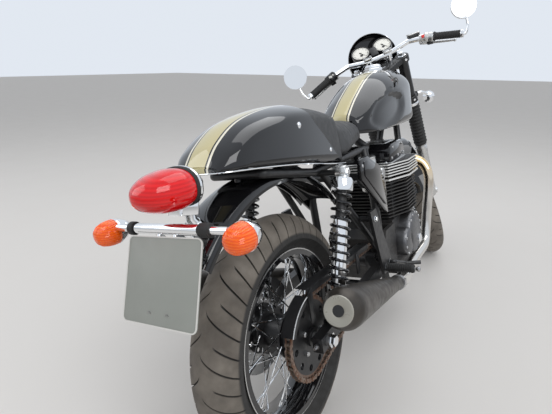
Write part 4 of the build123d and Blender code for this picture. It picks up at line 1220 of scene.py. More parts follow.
def fender_stay(side):
    """The front fender's bracket to its fork leg, with two bolts."""
    plate = [(1330, 632), (1365, 640), (1372, 572), (1342, 572)]
    low = 52.6 if side > 0 else -56
    parts = [slab(plate, 3.4, across_plane(low), ALLOY, bevel=0.8),
             tube([(side * 54, 1356, 584), (side * 76, 1356, 584)], 8, ALLOY, 16)]
    for y, z in ((1348, 624), (1357, 584)):
        parts.append(lathe([(AXIS, 4), (5, 3.4), (6, 0)], (side * 56, y, z), (side, 0, 0),
                           CHROME, 6))
    return parts


piece("front_fender_rolled", "steering", [
    arc_shell(fender_profile(56, FRONT_FENDER_RADIUS, 16, 3, 16), FRONT_AXLE, -35, 110,
              GLOSS_BLACK),
] + mirrored(fender_stay), replaces=("front_fender",))

# Chain guard: top plate, rolled tail and bright edge
GUARD_RADIUS = 127


def guard_arc(x, radius, first, last, steps=14):
    """Points round the rear sprocket at one x; 0 is up, rearward is more."""
    return [Vector((x, REAR_AXLE.y - radius * sin(radians(first + (last - first) * step / steps)),
                    REAR_AXLE.z + radius * cos(radians(first + (last - first) * step / steps))))
            for step in range(steps + 1)]


piece("chain_guard_rolled", "frame", [
    slab([(-20, 464), (400, 433), (400, 430.5), (-20, 461.5)], 34, across_plane(78), SATIN_BLACK,
         bevel=0.5),
    slab([(-20, 463), (400, 432), (400, 418), (-20, 446)], 2.2, across_plane(110), SATIN_BLACK,
         bevel=0.5),
    arc_shell([(78, GUARD_RADIUS - 1), (78, GUARD_RADIUS + 1.4), (112, GUARD_RADIUS + 1.4),
               (112, GUARD_RADIUS - 14), (109.8, GUARD_RADIUS - 14), (109.8, GUARD_RADIUS - 1)],
              REAR_AXLE, 10, 52, SATIN_BLACK, 20),
    tube(guard_arc(112.4, GUARD_RADIUS + 0.6, 10, 62), 1.5, ALLOY, 8),
    slab([(290, 371), (312, 373), (312, 436), (290, 438)], 4, across_plane(111), SATIN_BLACK,
         bevel=0.8),
    slab([(-24, 372), (-2, 372), (-2, 463), (-24, 452)], 4, across_plane(112.6), SATIN_BLACK,
         bevel=0.8),
], replaces=("chain_guard",))

# Tail lamp
LAMP_Z = 784


def oval_ring(y, width, height, count=64, power=2.3, z=LAMP_Z):
    """A rounded section of the tail lamp, across the machine."""
    ring = []
    for step in range(count):
        angle = 2 * pi * step / count
        u, v = cos(angle), sin(angle)
        reach = (abs(u) ** power + abs(v) ** power) ** (-1 / power)
        ring.append(Vector((width / 2 * u * reach, y, z + height / 2 * v * reach)))
    return ring


def oval_skin(rows, material, parts=6):
    """A smooth skin through rounded sections."""
    return loft(smooth_rings([oval_ring(*row) for row in rows], parts), material)


LENS = (
    # y, width, height of the rounded section
    (-264, 106, 77), (-290, 115, 84), (-326, 104, 74), (-352, 74, 52), (-366, 36, 24),
    (-369, 8, 6),
)
piece("tail_lens_moulded", "frame", [oval_skin(LENS, RED_LENS)], replaces=("tail_lens",),
      crease=80)
post_way = Vector((0, -sin(radians(32)), cos(radians(32))))
piece("tail_lamp_housing", "frame", [
    oval_skin(((-257, 112, 83), (-250, 111, 82), (-238, 92, 66), (-222, 62, 44), (-212, 24, 18)),
              CHROME),
    oval_skin(((-265, 107, 78), (-263, 111, 82), (-258, 111, 82), (-256, 107, 78)), RUBBER, 3),
    tube([REAR_AXLE + post_way * (REAR_FENDER_RADIUS + 0.3), REAR_AXLE + post_way * 452],
         [19, 15], CHROME, 28),
    tube([REAR_AXLE + post_way * 450, REAR_AXLE + post_way * 464, (0, -246, LAMP_Z - 30)],
         [14, 12, 12], CHROME, 24),
    slab(rounded_box(27, 20, 6), 30, aimed((0, -262, LAMP_Z - 58), (0, 0.25, 1)), CHROME, bevel=3),
], replaces=("tail_lamp",))

# Indicators: amber domes with fluted edges, chrome cups
def fluted(profile, start, along, material, flutes, depth):
    """A turned form whose side has fine flutes."""
    made = lathe(profile, start, along, material, flutes * 2)
    start, along = Vector(start), Vector(along).normalized()
    for place in made.vertices:
        out = place.co - start
        out = out - along * out.dot(along)
        if out.length > 4:
            first, second = square_axes(along)
            angle = atan2(out.dot(second), out.dot(first))
            if round(angle / (pi / flutes)) % 2:
                place.co -= out.normalized() * depth
    return made


BAR_PLACE = Vector((0, -309, 712))


def rear_indicator(side):
    """A rear indicator on its stem."""
    back = Vector((side * 178, -303, 701))
    lens = [(AXIS, 46), (9, 45), (17, 41), (23, 33), (26.5, 22), (28, 10), (28, 2), (27, 0)]
    cup = [(AXIS, 40), (8, 39.5), (13, 36), (20, 26), (25, 14), (28, 4), (28.6, 0)]
    return [
        fluted(lens, back, (0, -1, 0), AMBER_LENS, 40, 0.7),
        lathe([(24, -2.5), (28.8, -2.5), (28.8, 1.5), (24, 1.5)], back, (0, -1, 0), CHROME, 48,
              ring=True),
        lathe(cup, back, (0, 1, 0), CHROME, 48),
    ]


piece("rear_indicators_domed", "frame", mirrored(rear_indicator), replaces=("rear_indicators",))


def front_indicator(side):
    """A front indicator: lens ahead, chrome bullet behind, on its bent stem."""
    face = Vector((side * 205, 1314, 812))
    lens = [(AXIS, 24), (10, 23), (19, 18), (25, 10), (28, 2), (27.5, 0)]
    cup = [(AXIS, 38), (7, 37.5), (13, 33), (20, 23), (26, 10), (28.6, 0)]
    stem = smooth_line([(side * 135, 1245, 848), (side * 160, 1246, 848), (side * 178, 1262, 838),
                        (side * 196, 1286, 822)], 6)
    return [
        fluted(lens, face, (0, 1, 0), AMBER_LENS, 36, 0.7),
        lathe(cup, face, (0, -1, 0), CHROME, 48),
        tube(stem, 6.5, CHROME, 16),
        lathe([(12, -6), (13, -4), (13, 3), (10, 6)], (side * 138, 1245, 848), LEFT_TO_RIGHT,
              RUBBER, 24),
    ]


piece("front_indicators_domed", "steering", mirrored(front_indicator),
      replaces=("front_indicators",))

piece("indicator_bar_sleeves", "frame", [
    lathe([(8, -92), (10.5, -90), (11, -88), (11, 80), (10.5, 82), (8, 84)], BAR_PLACE,
          LEFT_TO_RIGHT, CHROME, 32, ring=True),
    lathe([(8, 84), (13, 85), (14, 88), (14, 106), (12.5, 109), (8, 110)], BAR_PLACE, LEFT_TO_RIGHT,
          RUBBER, 32, ring=True),
    lathe([(8, -110), (12.5, -109), (14, -106), (14, -95), (13, -93), (8, -92)], BAR_PLACE,
          LEFT_TO_RIGHT, RUBBER, 32, ring=True),
])

# Number plate: blank, with a pale edge line and its two fixings
PLATE_TILT = radians(21.8)
plate_out = Vector((0, -cos(PLATE_TILT), sin(PLATE_TILT)))
plate_up = plate_out.cross(LEFT_TO_RIGHT) * -1
plate_at = Matrix(((1, plate_up.x, plate_out.x, 0), (0, plate_up.y, plate_out.y, -352),
                   (0, plate_up.z, plate_out.z, 622), (0, 0, 0, 1)))


def edge_band(half_u, half_v, corner, width, low, high, plane, material):
    """A flat band just inside a rounded rectangle."""
    outer = rounded_box(half_u, half_v, corner)
    inner = rounded_box(half_u - width, half_v - width, corner - width)
    rings = [[plane @ Vector((u, v, depth)) for u, v in edge]
             for edge, depth in ((outer, low), (outer, high), (inner, high), (inner, low))]
    return loft(rings, material, closed=True)


plate_bolt = lathe([(AXIS, 2.6), (3.5, 2.2), (4.6, 0)], (0, 0, 0), (0, 0, 1), STEEL, 16)
piece("number_plate_blank", "frame", [
    slab(rounded_box(100, 85, 12), 2.6, plate_at, PLATE, bevel=0.5),
    edge_band(100, 85, 12, 2.6, 2.2, 3.4, plate_at, PALE_PAINT),
    scattered(plate_bolt, [(plate_at @ Vector((x, 62, 2.6)), plate_at.to_3x3().to_4x4())
                           for x in (-24, 24)], STEEL),
], replaces=("number_plate",))

# Silencers: drawn megaphones, pale end rings round a black disc in the bore, soot black and painted
# shade of the open pipe
SILENCER_TIP = Vector((245, -125, 478))
SILENCER_JOINT = Vector((190, 430, 290))


def silencer(side):
    """One silencer with its clamp, hanger stud and end ring."""
    joint = on_side(SILENCER_JOINT, side)
    run = on_side(SILENCER_TIP, side) - joint
    far = run.length
    wall = [(AXIS, 1), (21, 0), (22, 3), (24, 0.1 * far), (33, 0.4 * far), (42, 0.7 * far),
            (47, 0.88 * far), (48, 0.91 * far), (48, 0.94 * far), (46, 0.955 * far),
            (40, 0.975 * far), (34, 0.99 * far), (33, far)]
    end = [(33, far - 3), (33.5, far), (32, far + 2.5), (16, far + 2.5), (13, far + 1),
           (12.4, far - 2)]
    # the bore is a satin black disc just inside the end ring: soot black, and painted shade in
    # place of the open pipe's depth
    bore = [(13, far + 0.6), (13, far - 1)]
    clamp = [(20, -14), (25, -14), (26, -12), (26, 8), (25, 10), (20, 10)]
    return [
        lathe(wall, joint, run, DARK_EXHAUST, 72),
        lathe(end, joint, run, END_RING, 72, ring=True),
        lathe(bore, joint, run, SATIN_BLACK, 48),
        lathe(clamp, joint, run, STEEL, 40, ring=True),
        tube([joint + Vector((side * 26, 0, -4)), joint + Vector((side * 26, 0, 16))], 4, STEEL, 6),
    ]


piece("silencers_drawn", "frame", mirrored(silencer), replaces=("silencers",))

# Engine: machined fin edges, round covers and their screws
FIN_PLAN = [(112, 672), (162, 770), (162, 895), (122, 930)]
FIN_OUTLINE = FIN_PLAN + [(-half, y) for half, y in reversed(FIN_PLAN)]
HEAD_FIN_LOW = 598
HEAD_PITCH = 10.5
HEAD_FINS = 5


def fin_band(grow, width, low, thick, material):
    """A thin bright band round the edge of a cooling fin."""
    middle = Vector((0, (FIN_PLAN[0][1] + FIN_PLAN[-1][1]) / 2))
    outer = []
    inner = []
    for x, y in FIN_OUTLINE:
        away = (Vector((x, y)) - middle).normalized()
        outer.append((x + away.x * grow, y + away.y * grow))
        inner.append((x - away.x * width, y - away.y * width))
    rings = [[(x, y, z) for x, y in ring] for ring, z in
             ((outer, low), (outer, low + thick), (inner, low + thick), (inner, low))]
    return loft(rings, material, closed=True)


def fin_slab(low, thick, material):
    """A whole cooling fin of the head with a soft edge."""
    return slab(FIN_OUTLINE, thick, Matrix.Translation((0, 0, low)), material, bevel=1.2)


def cam_box(grow, low, soft, material):
    """The cam cover's form across the head, grown and with soft edges."""
    outline = [(700 - grow, low), (885 + grow, low), (885 + grow, 686), (876, 704 + grow),
               (860, 716 + grow), (724, 716 + grow), (706, 704 + grow), (700 - grow, 688)]
    return cross_plate(outline, 118 + grow, material, soft)


piece("head_cast", "frame", [
    slab([(-112, 690), (112, 690), (112, 900), (-112, 900)], 64, Matrix.Translation((0, 0, 578)),
         ENGINE_BLACK, bevel=2),
    fin_slab(582, 6, ENGINE_BLACK),
    row_of(fin_slab(HEAD_FIN_LOW, 4, ENGINE_BLACK), HEAD_FINS, (0, 0, HEAD_PITCH), ENGINE_BLACK),
    cam_box(-0.5, 640, 12, GLOSS_BLACK),
    slab([(-121, 697), (121, 697), (121, 888), (-121, 888)], 6, Matrix.Translation((0, 0, 642)),
         ALLOY, bevel=2),
], replaces=("cylinder_head",))
piece("head_fin_edges", "frame", [
    row_of(fin_band(0.6, 3, HEAD_FIN_LOW - 0.2, 4.4, MACHINED), HEAD_FINS, (0, 0, HEAD_PITCH),
           MACHINED),
    fin_band(0.6, 3, 581.8, 6.4, MACHINED),
])


def round_cover(centre, radius, depth, out):
    """A cast cover: flat face, rolled edge, plain wall."""
    return lathe([(radius - 16, depth), (radius - 13, depth - 1.5), (radius - 10, depth),
                  (radius - 5, depth - 2), (radius - 1, depth - 8), (radius, depth - 16),
                  (radius, 0)], centre, out, COVER_ALLOY, 96)


def cover_screws(centre, radius, depth, out, count, first, last):
    """Places of cover screws along an arc, in degrees from up, rearward."""
    places = []
    turn = Vector(out).to_track_quat("Z", "Y").to_matrix().to_4x4()
    for number in range(count):
        angle = radians(first + (last - first) * number / (count - 1))
        places.append((Vector(centre) + Vector(out) * (depth - 3)
                       + Vector((0, -radius * sin(angle), radius * cos(angle))), turn))
    return places


cover_screw = lathe([(2.2, 5), (2.4, 3.4), (5, 4), (5.6, 3), (5.6, 0)], (0, 0, 0), (0, 0, 1),
                    STEEL, 12)
ENGINE_COVERS = (
    # centre, radius, depth, side, then the screws' count and first and last angle
    ((112, 805, 345), 84, 46, 1, 8, -120, 40),
    ((112, 725, 330), 56, 46, 1, 3, 60, 140),
    ((-112, 815, 345), 80, 42, -1, 8, -120, 40),
    ((-112, 705, 326), 52, 42, -1, 3, 60, 140),
)
covers = []
cover_screw_places = []
for centre, radius, depth, side, count, first, last in ENGINE_COVERS:
    out = (side, 0, 0)
    covers.append(round_cover(centre, radius, depth, out))
    screw_circle = radius - (7 if count > 3 else 6)
    cover_screw_places += cover_screws(centre, screw_circle, depth, out, count, first, last)
piece("engine_covers_cast", "frame", covers + [
    lathe([(17, 51), (19, 49), (19, 44)], (112, 852, 300), (1, 0, 0), CHROME, 40),
    lathe([(20, 47), (22, 45), (22, 40)], ENGINE_COVERS[2][0], (-1, 0, 0), CHROME, 40),
    scattered(cover_screw, cover_screw_places, STEEL),
], replaces=("engine_covers",))

head_bolt = lathe([(7, 9), (8, 8), (8, 0), (11, 0), (11, -1)], (0, 0, 0), (0, 0, 1), CHROME, 6)
head_places = [(Vector((x, y, 642)), Matrix.Identity(4)) for x in (-98, 98) for y in (706, 880)]
cam_screws = []
for side in SIDES:
    turn = Matrix.Rotation(side * pi / 2, 4, "Y")
    for y, z in ((716, 662), (792, 662), (868, 662), (734, 700), (850, 700)):
        cam_screws.append((Vector((side * 116.5, y, z)), turn))
piece("head_bolts", "frame", [
    scattered(head_bolt, head_places, CHROME),
    scattered(cover_screw, cam_screws, STEEL),
    cross_plate([(740, 713), (846, 713), (846, 719), (740, 719)], 90, ALLOY, 2.5),
])


def header_collar(side):
    """The finned clamp where a header leaves the head, with its two nuts."""
    start = Vector((side * 80, 930.6, 608))
    collar = [(20.3, 0), (34, 0), (34, 4), (27, 5), (27, 8), (34, 9), (34, 13), (27, 14),
              (20.3, 16)]
    parts = [lathe(collar, start, (0, 1, 0), ALLOY, 40, ring=True)]
    for way in SIDES:
        parts.append(lathe([(4, 20), (4, 13), (6.5, 13), (6.5, 7)],
                           start + Vector((way * 29, 0, 0)), (0, 1, 0), STEEL, 6))
    return parts


piece("header_collars", "frame", mirrored(header_collar))


def intake(side):
    """A carburettor: two rubber boots, a band, and a body with its cap, bowl and side cover."""
    x = side * 62
    mouth = (x, 671, 612)
    rearward = (0, -1, 0)
    return [
        lathe([(26, 0), (27, 3), (27, 20), (25, 24)], mouth, rearward, RUBBER, 36),
        lathe([(26, 8), (28.5, 8), (28.5, 15), (26, 15)], mouth, rearward, STEEL, 36, ring=True),
        lathe([(25, 22), (27, 26), (27, 92), (24, 96)], mouth, rearward, ALLOY, 36),
        lathe([(22, -52), (28, -46), (30, -36), (30, 64), (29, 68), (30, 70), (30, 76), (26, 79),
               (8, 81)], (x, 606, 612), (0, 0, 1), ALLOY, 40),
        lathe([(22, 94), (27, 98), (27, 118), (22, 123)], mouth, rearward, RUBBER, 36),
        lathe([(22, 17), (24, 20), (24, 50), (21, 55), (12, 56)], (x, 606, 625), (side, 0, 0),
              ALLOY, 36),
    ]


piece("carburettors_cast", "frame", mirrored(intake) + [
    tube([(-62, 604, 600), (62, 604, 600)], 9, STEEL, 20),
], replaces=("carburettors",))


def header(side):
    """One exhaust header, a smooth sweep from the head down and back to its silencer."""
    lead = SILENCER_JOINT - (SILENCER_TIP - SILENCER_JOINT) * 0.2
    sweep = smooth_line([(80, 930.8, 608), (82, 968, 612), (106, 1002, 610), (148, 1017, 588),
                         (172, 1014, 540), (170, 1011, 470), (161, 1005, 400), (151, 992, 300),
                         (148, 972, 250), (149, 930, 236), (149.5, 860, 236), (150, 790, 236),
                         (156, 700, 238), (167, 615, 242), lead, SILENCER_JOINT], 5)
    return [tube([on_side(place, side) for place in sweep], 20, HEADER_CHROME, 32)]


piece("headers_swept", "frame", mirrored(header), replaces=("exhaust_headers",))


# Foot pegs: ribbed rubber on steel, ball tips
def foot_peg(side):
    """A ribbed peg with its ball tip."""
    profile = [(12, 0), (14, 2)]
    for rib in range(11):
        start = 6 + rib * 7
        profile += [(14, start), (12.2, start + 1.5), (12.2, start + 3), (14, start + 4.5)]
    profile += [(14, 86), (12, 90)]
    base = Vector((side * 160, 425, 345))
    return [
        lathe(profile, base, (side, 0, 0), RUBBER, 32),
        lathe([(5, 88), (5, 96), (8, 99), (9, 103), (8, 107), (4, 109.5), (AXIS, 110)], base,
              (side, 0, 0), STEEL, 24),
    ]


piece("foot_pegs_ribbed", "frame", mirrored(foot_peg), replaces=("foot_pegs",))


def foot_bolts(side):
    """Bolts of a foot hanger, swingarm pivot, axle nut and chain adjuster."""
    out = Vector((side, 0, 0))
    hexagon = [(9, 8), (10, 7), (10, 1), (13, 1), (13, 0)]
    places = (((side * 160, 365, 529), 0.8), ((side * 160, 425, 345), 1.1),
              ((side * 160, 462, 350), 0.7), ((side * 118, 503, 336), 1.3),
              ((side * 152, 0, REAR_RADIUS), 1.5))
    parts = []
    for place, size in places:
        parts.append(lathe([(r * size, d * size) for r, d in hexagon], place, out, CHROME, 6))
    adjuster = Vector((side * 128, -34, REAR_RADIUS))
    parts.append(tube([adjuster, adjuster - Vector((0, 18, 0))], 4, STEEL, 8))
    parts.append(lathe([(7, 2), (7, 8)], adjuster, (0, -1, 0), STEEL, 6))
    return parts


piece("running_gear_nuts", "frame", mirrored(foot_bolts))


# Front end: fork, gaiters, lamp, instruments
def fork_point(x, ahead, along):
    """A point given across, ahead of and along the steering axis."""
    foot = Vector((x, STEER_FOOT, 0))
    return foot + Vector((0, cos(RAKE), sin(RAKE))) * ahead + STEER_UP * along


AXLE_WAY = FRONT_AXLE - Vector((0, STEER_FOOT, 0))
FORK_AHEAD = AXLE_WAY.y * cos(RAKE) + AXLE_WAY.z * sin(RAKE)
AXLE_ALONG = -AXLE_WAY.y * sin(RAKE) + AXLE_WAY.z * cos(RAKE)
FORK_SPREAD = 103


def fork_leg(side):
    """A leg: chromed tube, cast slider with its axle lug, top nut."""
    foot = fork_point(side * FORK_SPREAD, FORK_AHEAD, 0)
    lug = FRONT_AXLE + Vector((side * FORK_SPREAD, 0, 0))
    low = AXLE_ALONG - 26
    slider = [(17, low - 2), (22, low + 4), (26, low + 20), (27, low + 50), (25.5, low + 70),
              (25.5, 590), (27, 600), (27, 640), (24, 645)]
    return [
        lathe(slider, foot, STEER_UP, ALLOY, 48),
        lathe([(20.5, 600), (20.5, 930)], foot, STEER_UP, CHROME, 40),
        lathe([(23, 926), (23, 1101), (20.5, 1102), (20.5, 1128)], foot, STEER_UP, SATIN_BLACK, 40),
        lathe([(21, 1126), (21, 1130), (14, 1132), (14, 1142), (11, 1144)], foot, STEER_UP,
              CHROME, 6),
        lathe([(20, -27), (20, 27)], lug, LEFT_TO_RIGHT, ALLOY, 36),
        lathe([(12, 24), (12, 34)], lug, (side, 0, 0), CHROME, 6),
    ]


piece("fork_legs_cast", "steering", mirrored(fork_leg), replaces=("fork_legs",))


def yoke(low, high, grow):
    """A cast yoke: clamp bosses, stem boss and the web between them."""
    half = FORK_SPREAD
    right = [(12, -29), (30, -20), (half - 6, FORK_AHEAD - 28), (half + 14, FORK_AHEAD - 26),
             (half + 28, FORK_AHEAD - 8), (half + 28, FORK_AHEAD + 8), (half + 14, FORK_AHEAD + 27),
             (half - 16, FORK_AHEAD + 27), (half - 34, FORK_AHEAD + 14)]
    plan = right + [(-x, y) for x, y in reversed(right)]
    base = Matrix.Translation(fork_point(0, 0, low)) @ Matrix.Rotation(RAKE, 4, "X")
    parts = [slab(plan, high - low, base, SATIN_BLACK, bevel=4)]
    for side in SIDES:
        foot = fork_point(side * half, FORK_AHEAD, 0)
        parts.append(lathe([(20.5, low - grow), (29, low - grow), (30.5, low - grow + 2),
                            (30.5, high + grow - 2), (29, high + grow), (20.5, high + grow)], foot,
                           STEER_UP, SATIN_BLACK, 48, ring=True))
        bolt = fork_point(side * (half + 8), FORK_AHEAD - 26, (low + high) / 2)
        parts.append(lathe([(5, 6), (6, 5), (6, -4)], bolt, (0, -cos(RAKE), -sin(RAKE)), CHROME, 6))
    return parts


piece("yokes_cast", "steering", yoke(898, 926, 2) + yoke(1102, 1126, 2) + [
    lathe([(26, 896), (27, 898), (27, 1134), (24, 1137)], fork_point(0, 0, 0), STEER_UP,
          SATIN_BLACK, 40),
], replaces=("fork_yokes",))


def gaiter(side):
    """A ribbed rubber gaiter with its two bands."""
    foot = fork_point(side * FORK_SPREAD, FORK_AHEAD, 0)
    low, high, ribs = 646, 894, 13
    pitch = (high - low - 16) / ribs
    profile = [(20.5, low), (28, low), (28, low + 8)]
    for rib in range(ribs):
        start = low + 8 + rib * pitch
        for share, radius in ((0.15, 27.5), (0.35, 31.5), (0.5, 33), (0.65, 31.5), (0.85, 27.5)):
            profile.append((radius, start + share * pitch))
    profile += [(28, high - 8), (28, high), (20.5, high)]
    return [
        lathe(profile, foot, STEER_UP, RUBBER, 40, ring=True),
        lathe([(27, low + 1.5), (29, low + 1.5), (29, low + 6), (27, low + 6)], foot, STEER_UP,
              STEEL, 36, ring=True),
        lathe([(27, high - 14), (31, high - 14), (32, high - 12), (32, high - 1), (31, high + 1),
               (27, high + 1)], foot, STEER_UP, CHROME, 40, ring=True),
    ]


piece("fork_gaiters_ribbed", "steering", mirrored(gaiter), replaces=("fork_gaiters",))

LAMP_CENTRE = Vector((0, 1262, 985))
piece("headlamp_shell", "steering", [
    lathe([(AXIS, -78), (18, -77), (40, -73), (62, -62), (78, -48), (87, -32), (90, -10), (90, 38)],
          LAMP_CENTRE, (0, 1, 0), GLOSS_BLACK, 96),
    lathe([(84, 34), (91, 34), (94, 38), (94, 43), (90, 48), (85, 49), (84, 44)], LAMP_CENTRE,
          (0, 1, 0), CHROME, 96, ring=True),
] + mirrored(lambda side: [
    tube([fork_point(side * FORK_SPREAD, FORK_AHEAD + 20.5, 1045),
          fork_point(side * FORK_SPREAD, FORK_AHEAD + 92, 1045)], 9, CHROME, 24),
    lathe([(10, -26), (10, 10)], fork_point(side * FORK_SPREAD, FORK_AHEAD + 86.5, 1045),
          (side, 0, 0), CHROME, 24),
]), replaces=("headlamp",))
piece("headlamp_glass", "steering", [
    lathe([(AXIS, 57), (20, 56.6), (45, 54.5), (66, 51), (80, 46), (84, 42), (84, 40)],
          LAMP_CENTRE, (0, 1, 0), CLEAR_LENS, 72),
], replaces=("headlamp_lens",))

GAUGE_WAY = Vector((0, -0.766, 0.643)).normalized()
GAUGE_PLACE = Vector((52, 1182, 1117))


def gauge(side):
    """A round instrument: cup, bezel, white face, ticks, hands and pin."""
    centre = on_side(GAUGE_PLACE, side)
    face_at = aimed(centre - GAUGE_WAY * 2.4, GAUGE_WAY)
    turn_x = Matrix.Rotation(-pi / 2, 4, "Y")
    parts = [
        lathe([(22, -54), (32, -50), (39, -40), (42.5, -22), (43, -8), (43, -1), (38, -1),
               (38, -3)], centre, GAUGE_WAY, GLOSS_BLACK, 64),
        lathe([(38, -2), (43.4, -2), (43.4, 0.6), (41.5, 2), (39, 1), (38, -1)], centre, GAUGE_WAY,
              SATIN_BLACK, 64, ring=True),
        lathe([(38.2, -2.4), (38.2, -3.4)], centre, GAUGE_WAY, DIAL_WHITE, 64),
    ]
    for count, length, width in ((10, 7.0, 1.6), (50, 3.5, 0.8)):
        tick = slab([(35 - length, -width / 2), (35, -width / 2), (35, width / 2),
                     (35 - length, width / 2)], 0.4, Matrix.Identity(4), DIAL_MARKS)
        tick = moved(tick, turn_x.inverted())
        ticks = ring_of(tick, count, DIAL_MARKS)
        parts.append(moved(ticks, face_at @ turn_x))
    hand = [(-9, -1.4), (27, -0.5), (27, 0.5), (-9, 1.4)]
    swing = Matrix.Rotation(radians(215), 4, "Z")
    parts.append(slab(hand, 0.6, face_at @ Matrix.Translation((0, 0, 1.0)) @ swing, DIAL_MARKS))
    parts.append(lathe([(AXIS, 2.2), (3.4, 2), (4, 0.4)], centre - GAUGE_WAY * 2.2, GAUGE_WAY,
                       DIAL_MARKS, 20))
    parts.append(lathe([(7, 0.3), (7, 0)], centre - GAUGE_WAY * 2.3 - Vector((0, 8.9, 10.6)),
                       GAUGE_WAY, DIAL_MARKS, 24))
    return parts


piece("gauges_dialled", "steering", mirrored(gauge) + [
    slab(rounded_box(26, 15, 6), 30, aimed(Vector((0, 1168, 1080)), GAUGE_WAY), SATIN_BLACK,
         bevel=3),
    tube([on_side(GAUGE_PLACE, side) - GAUGE_WAY * 42 for side in (-1, 1)], 9, SATIN_BLACK, 20),
    tube([fork_point(0, 78, 1126), fork_point(0, 78, 1142)], 8, SATIN_BLACK, 20),
    tube([fork_point(0, 70, 1138), fork_point(0, 150, 1141)], 8, SATIN_BLACK, 20),
], replaces=("gauges",))

# The screen: a black hood closed over the lamp, with a bright rear edge
SCREEN_LOW = 1011
SCREEN_MIDDLE = 1078
SCREEN_RADIUS = 116
SCREEN_REAR = 1232
LAMP_CLEAR = 91.5


def hood_row(radius, y, sink):
    """An arc of the hood: a circle drawn towards the top of the lamp by a share."""
    row = []
    first = asin((SCREEN_LOW - SCREEN_MIDDLE) / SCREEN_RADIUS)
    for step in range(41):
        angle = first + (pi - 2 * first) * step / 40
        outer = Vector((radius * cos(angle), 0, SCREEN_MIDDLE + radius * sin(angle)))
        low = Vector((outer.x * LAMP_CLEAR / SCREEN_RADIUS, 0, 0))
        low.z = LAMP_CENTRE.z + (LAMP_CLEAR ** 2 - low.x ** 2) ** 0.5
        place = outer.lerp(low, sink)
        place.y = y
        row.append(place)
    return row


HOOD = (
    # radius, y and share of the way to the lamp: the outer skin forwards, then the inner one back
    (SCREEN_RADIUS, SCREEN_REAR, 0), (SCREEN_RADIUS, 1250, 0), (115, 1264, 0), (111, 1275, 0.05),
    (104, 1281, 0.2), (96, 1283, 0.5), (92, 1282, 0.8), (92, 1278, 1),
    (92, 1275, 1), (92, 1279, 0.8), (94, 1280, 0.5), (101, 1277, 0.2), (108, 1272, 0.05),
    (112, 1262, 0), (113, 1250, 0), (113, SCREEN_REAR, 0),
)
hood_rings = [list(column) for column in zip(*(hood_row(*row) for row in HOOD))]
piece("screen_hood", "steering", [loft(hood_rings, GLOSS_BLACK)], replaces=("fly_screen",))
EDGE_INSET = 0.4
EDGE_STEPS = 48
edge_radius = SCREEN_RADIUS - EDGE_INSET
edge_line = []
for step in range(EDGE_STEPS + 1):
    angle = radians(-36 + 252 * step / EDGE_STEPS)
    edge_line.append(Vector((edge_radius * cos(angle), SCREEN_REAR - EDGE_INSET,
                             SCREEN_MIDDLE + edge_radius * sin(angle))))
piece("screen_edge", "steering", [tube(edge_line, 1.7, CHROME, 8)])

# Bars: grips, levers, switches, mirrors
BAR_END = Vector((333, 1032, 1013))
BAR_KNEE = Vector((215, 1075, 1058))


def bar_frame(side):
    """The start and direction of one end of the bar, running inwards."""
    end = on_side(BAR_END, side)
    return end, on_side(BAR_KNEE, side) - end


def grip(side):
    """A ribbed grip with its inner flange."""
    end, run = bar_frame(side)
    length = run.length * 0.8
    profile = [(11, 0), (15, 0), (16, 2)]
    for rib in range(14):
        start = 5 + rib * (length - 16) / 14
        pitch = (length - 16) / 14
        profile += [(16, start), (14.8, start + 0.2 * pitch), (14.8, start + 0.5 * pitch),
                    (16, start + 0.7 * pitch)]
    profile += [(16, length - 9), (19.5, length - 7), (19.5, length - 2), (17, length),
                (11, length)]
    return [lathe(profile, end, run, RUBBER, 36, ring=True)]


piece("grips_ribbed", "steering", mirrored(grip), replaces=("grips",))


def switch_pod(side):
    """A switch housing in two halves; the right one carries the red stop switch."""
    end, run = bar_frame(side)
    along = run.normalized()
    start = end + run * 0.81
    up = Vector((0, -0.35, 0.94))
    up = (up - along * up.dot(along)).normalized()
    parts = [
        lathe([(11, 0), (19, 0), (21, 3), (21, 17), (20, 19), (21, 21), (21, 33), (19, 36),
               (11, 36)], start, along, ALLOY if side > 0 else SATIN_BLACK, 36, ring=True),
        slab(rounded_box(9, 12, 3), 10, aimed(start + along * 12 - up * 30, up), SATIN_BLACK,
             bevel=1.5),
    ]
    back = Vector((0, -1, 0.25)).normalized()
    if side > 0:
        inward = Vector((140, 1100, 1075)) - end - run
        parts.append(tube([end + run * 0.955, end + run, end + run + inward * 0.38], 17, ALLOY, 28))
        switch_at = aimed(end + run + inward * 0.2 + back * 14, back)
        parts.append(slab(rounded_box(6, 9, 2), 8, switch_at, RED_SWITCH, bevel=1.5))
    else:
        switch_at = aimed(start + along * 11 + back * 18, back)
        parts.append(slab(rounded_box(4.5, 7, 1.5), 6, switch_at, PALE_PAINT, bevel=1))
    parts.append(lathe([(AXIS, 5), (3.5, 4.5), (4, 0)], start + along * 26 + back * 19, back,
                       PALE_PAINT, 20))
    return parts


piece("switchgear_housed", "steering", mirrored(switch_pod), replaces=("switchgear",))


def lever(side):
    """A polished lever with its ball end, bracket and pivot."""
    line = smooth_line([(side * 196, 1093, 1057.3), (side * 200, 1126, 1049),
                        (side * 240, 1118, 1034), (side * 285, 1098, 1016),
                        (side * 322, 1082, 1002)], 6)
    radii = [8 - 3.2 * index / (len(line) - 1) for index in range(len(line))]
    tip = Vector((side * 322, 1082, 1002))
    return [
        tube(line, radii, ALLOY, 14),
        lathe([(AXIS, -7), (4, -5.6), (6.4, -2.5), (7, 0), (6.4, 2.5), (4, 5.6), (AXIS, 7)], tip,
              (side, -0.4, -0.3), ALLOY, 20),
        lathe([(7, -9), (8, -7), (8, 7), (7, 9)], (side * 199, 1116, 1051), (0, 0.1, 1), STEEL, 24),
    ]


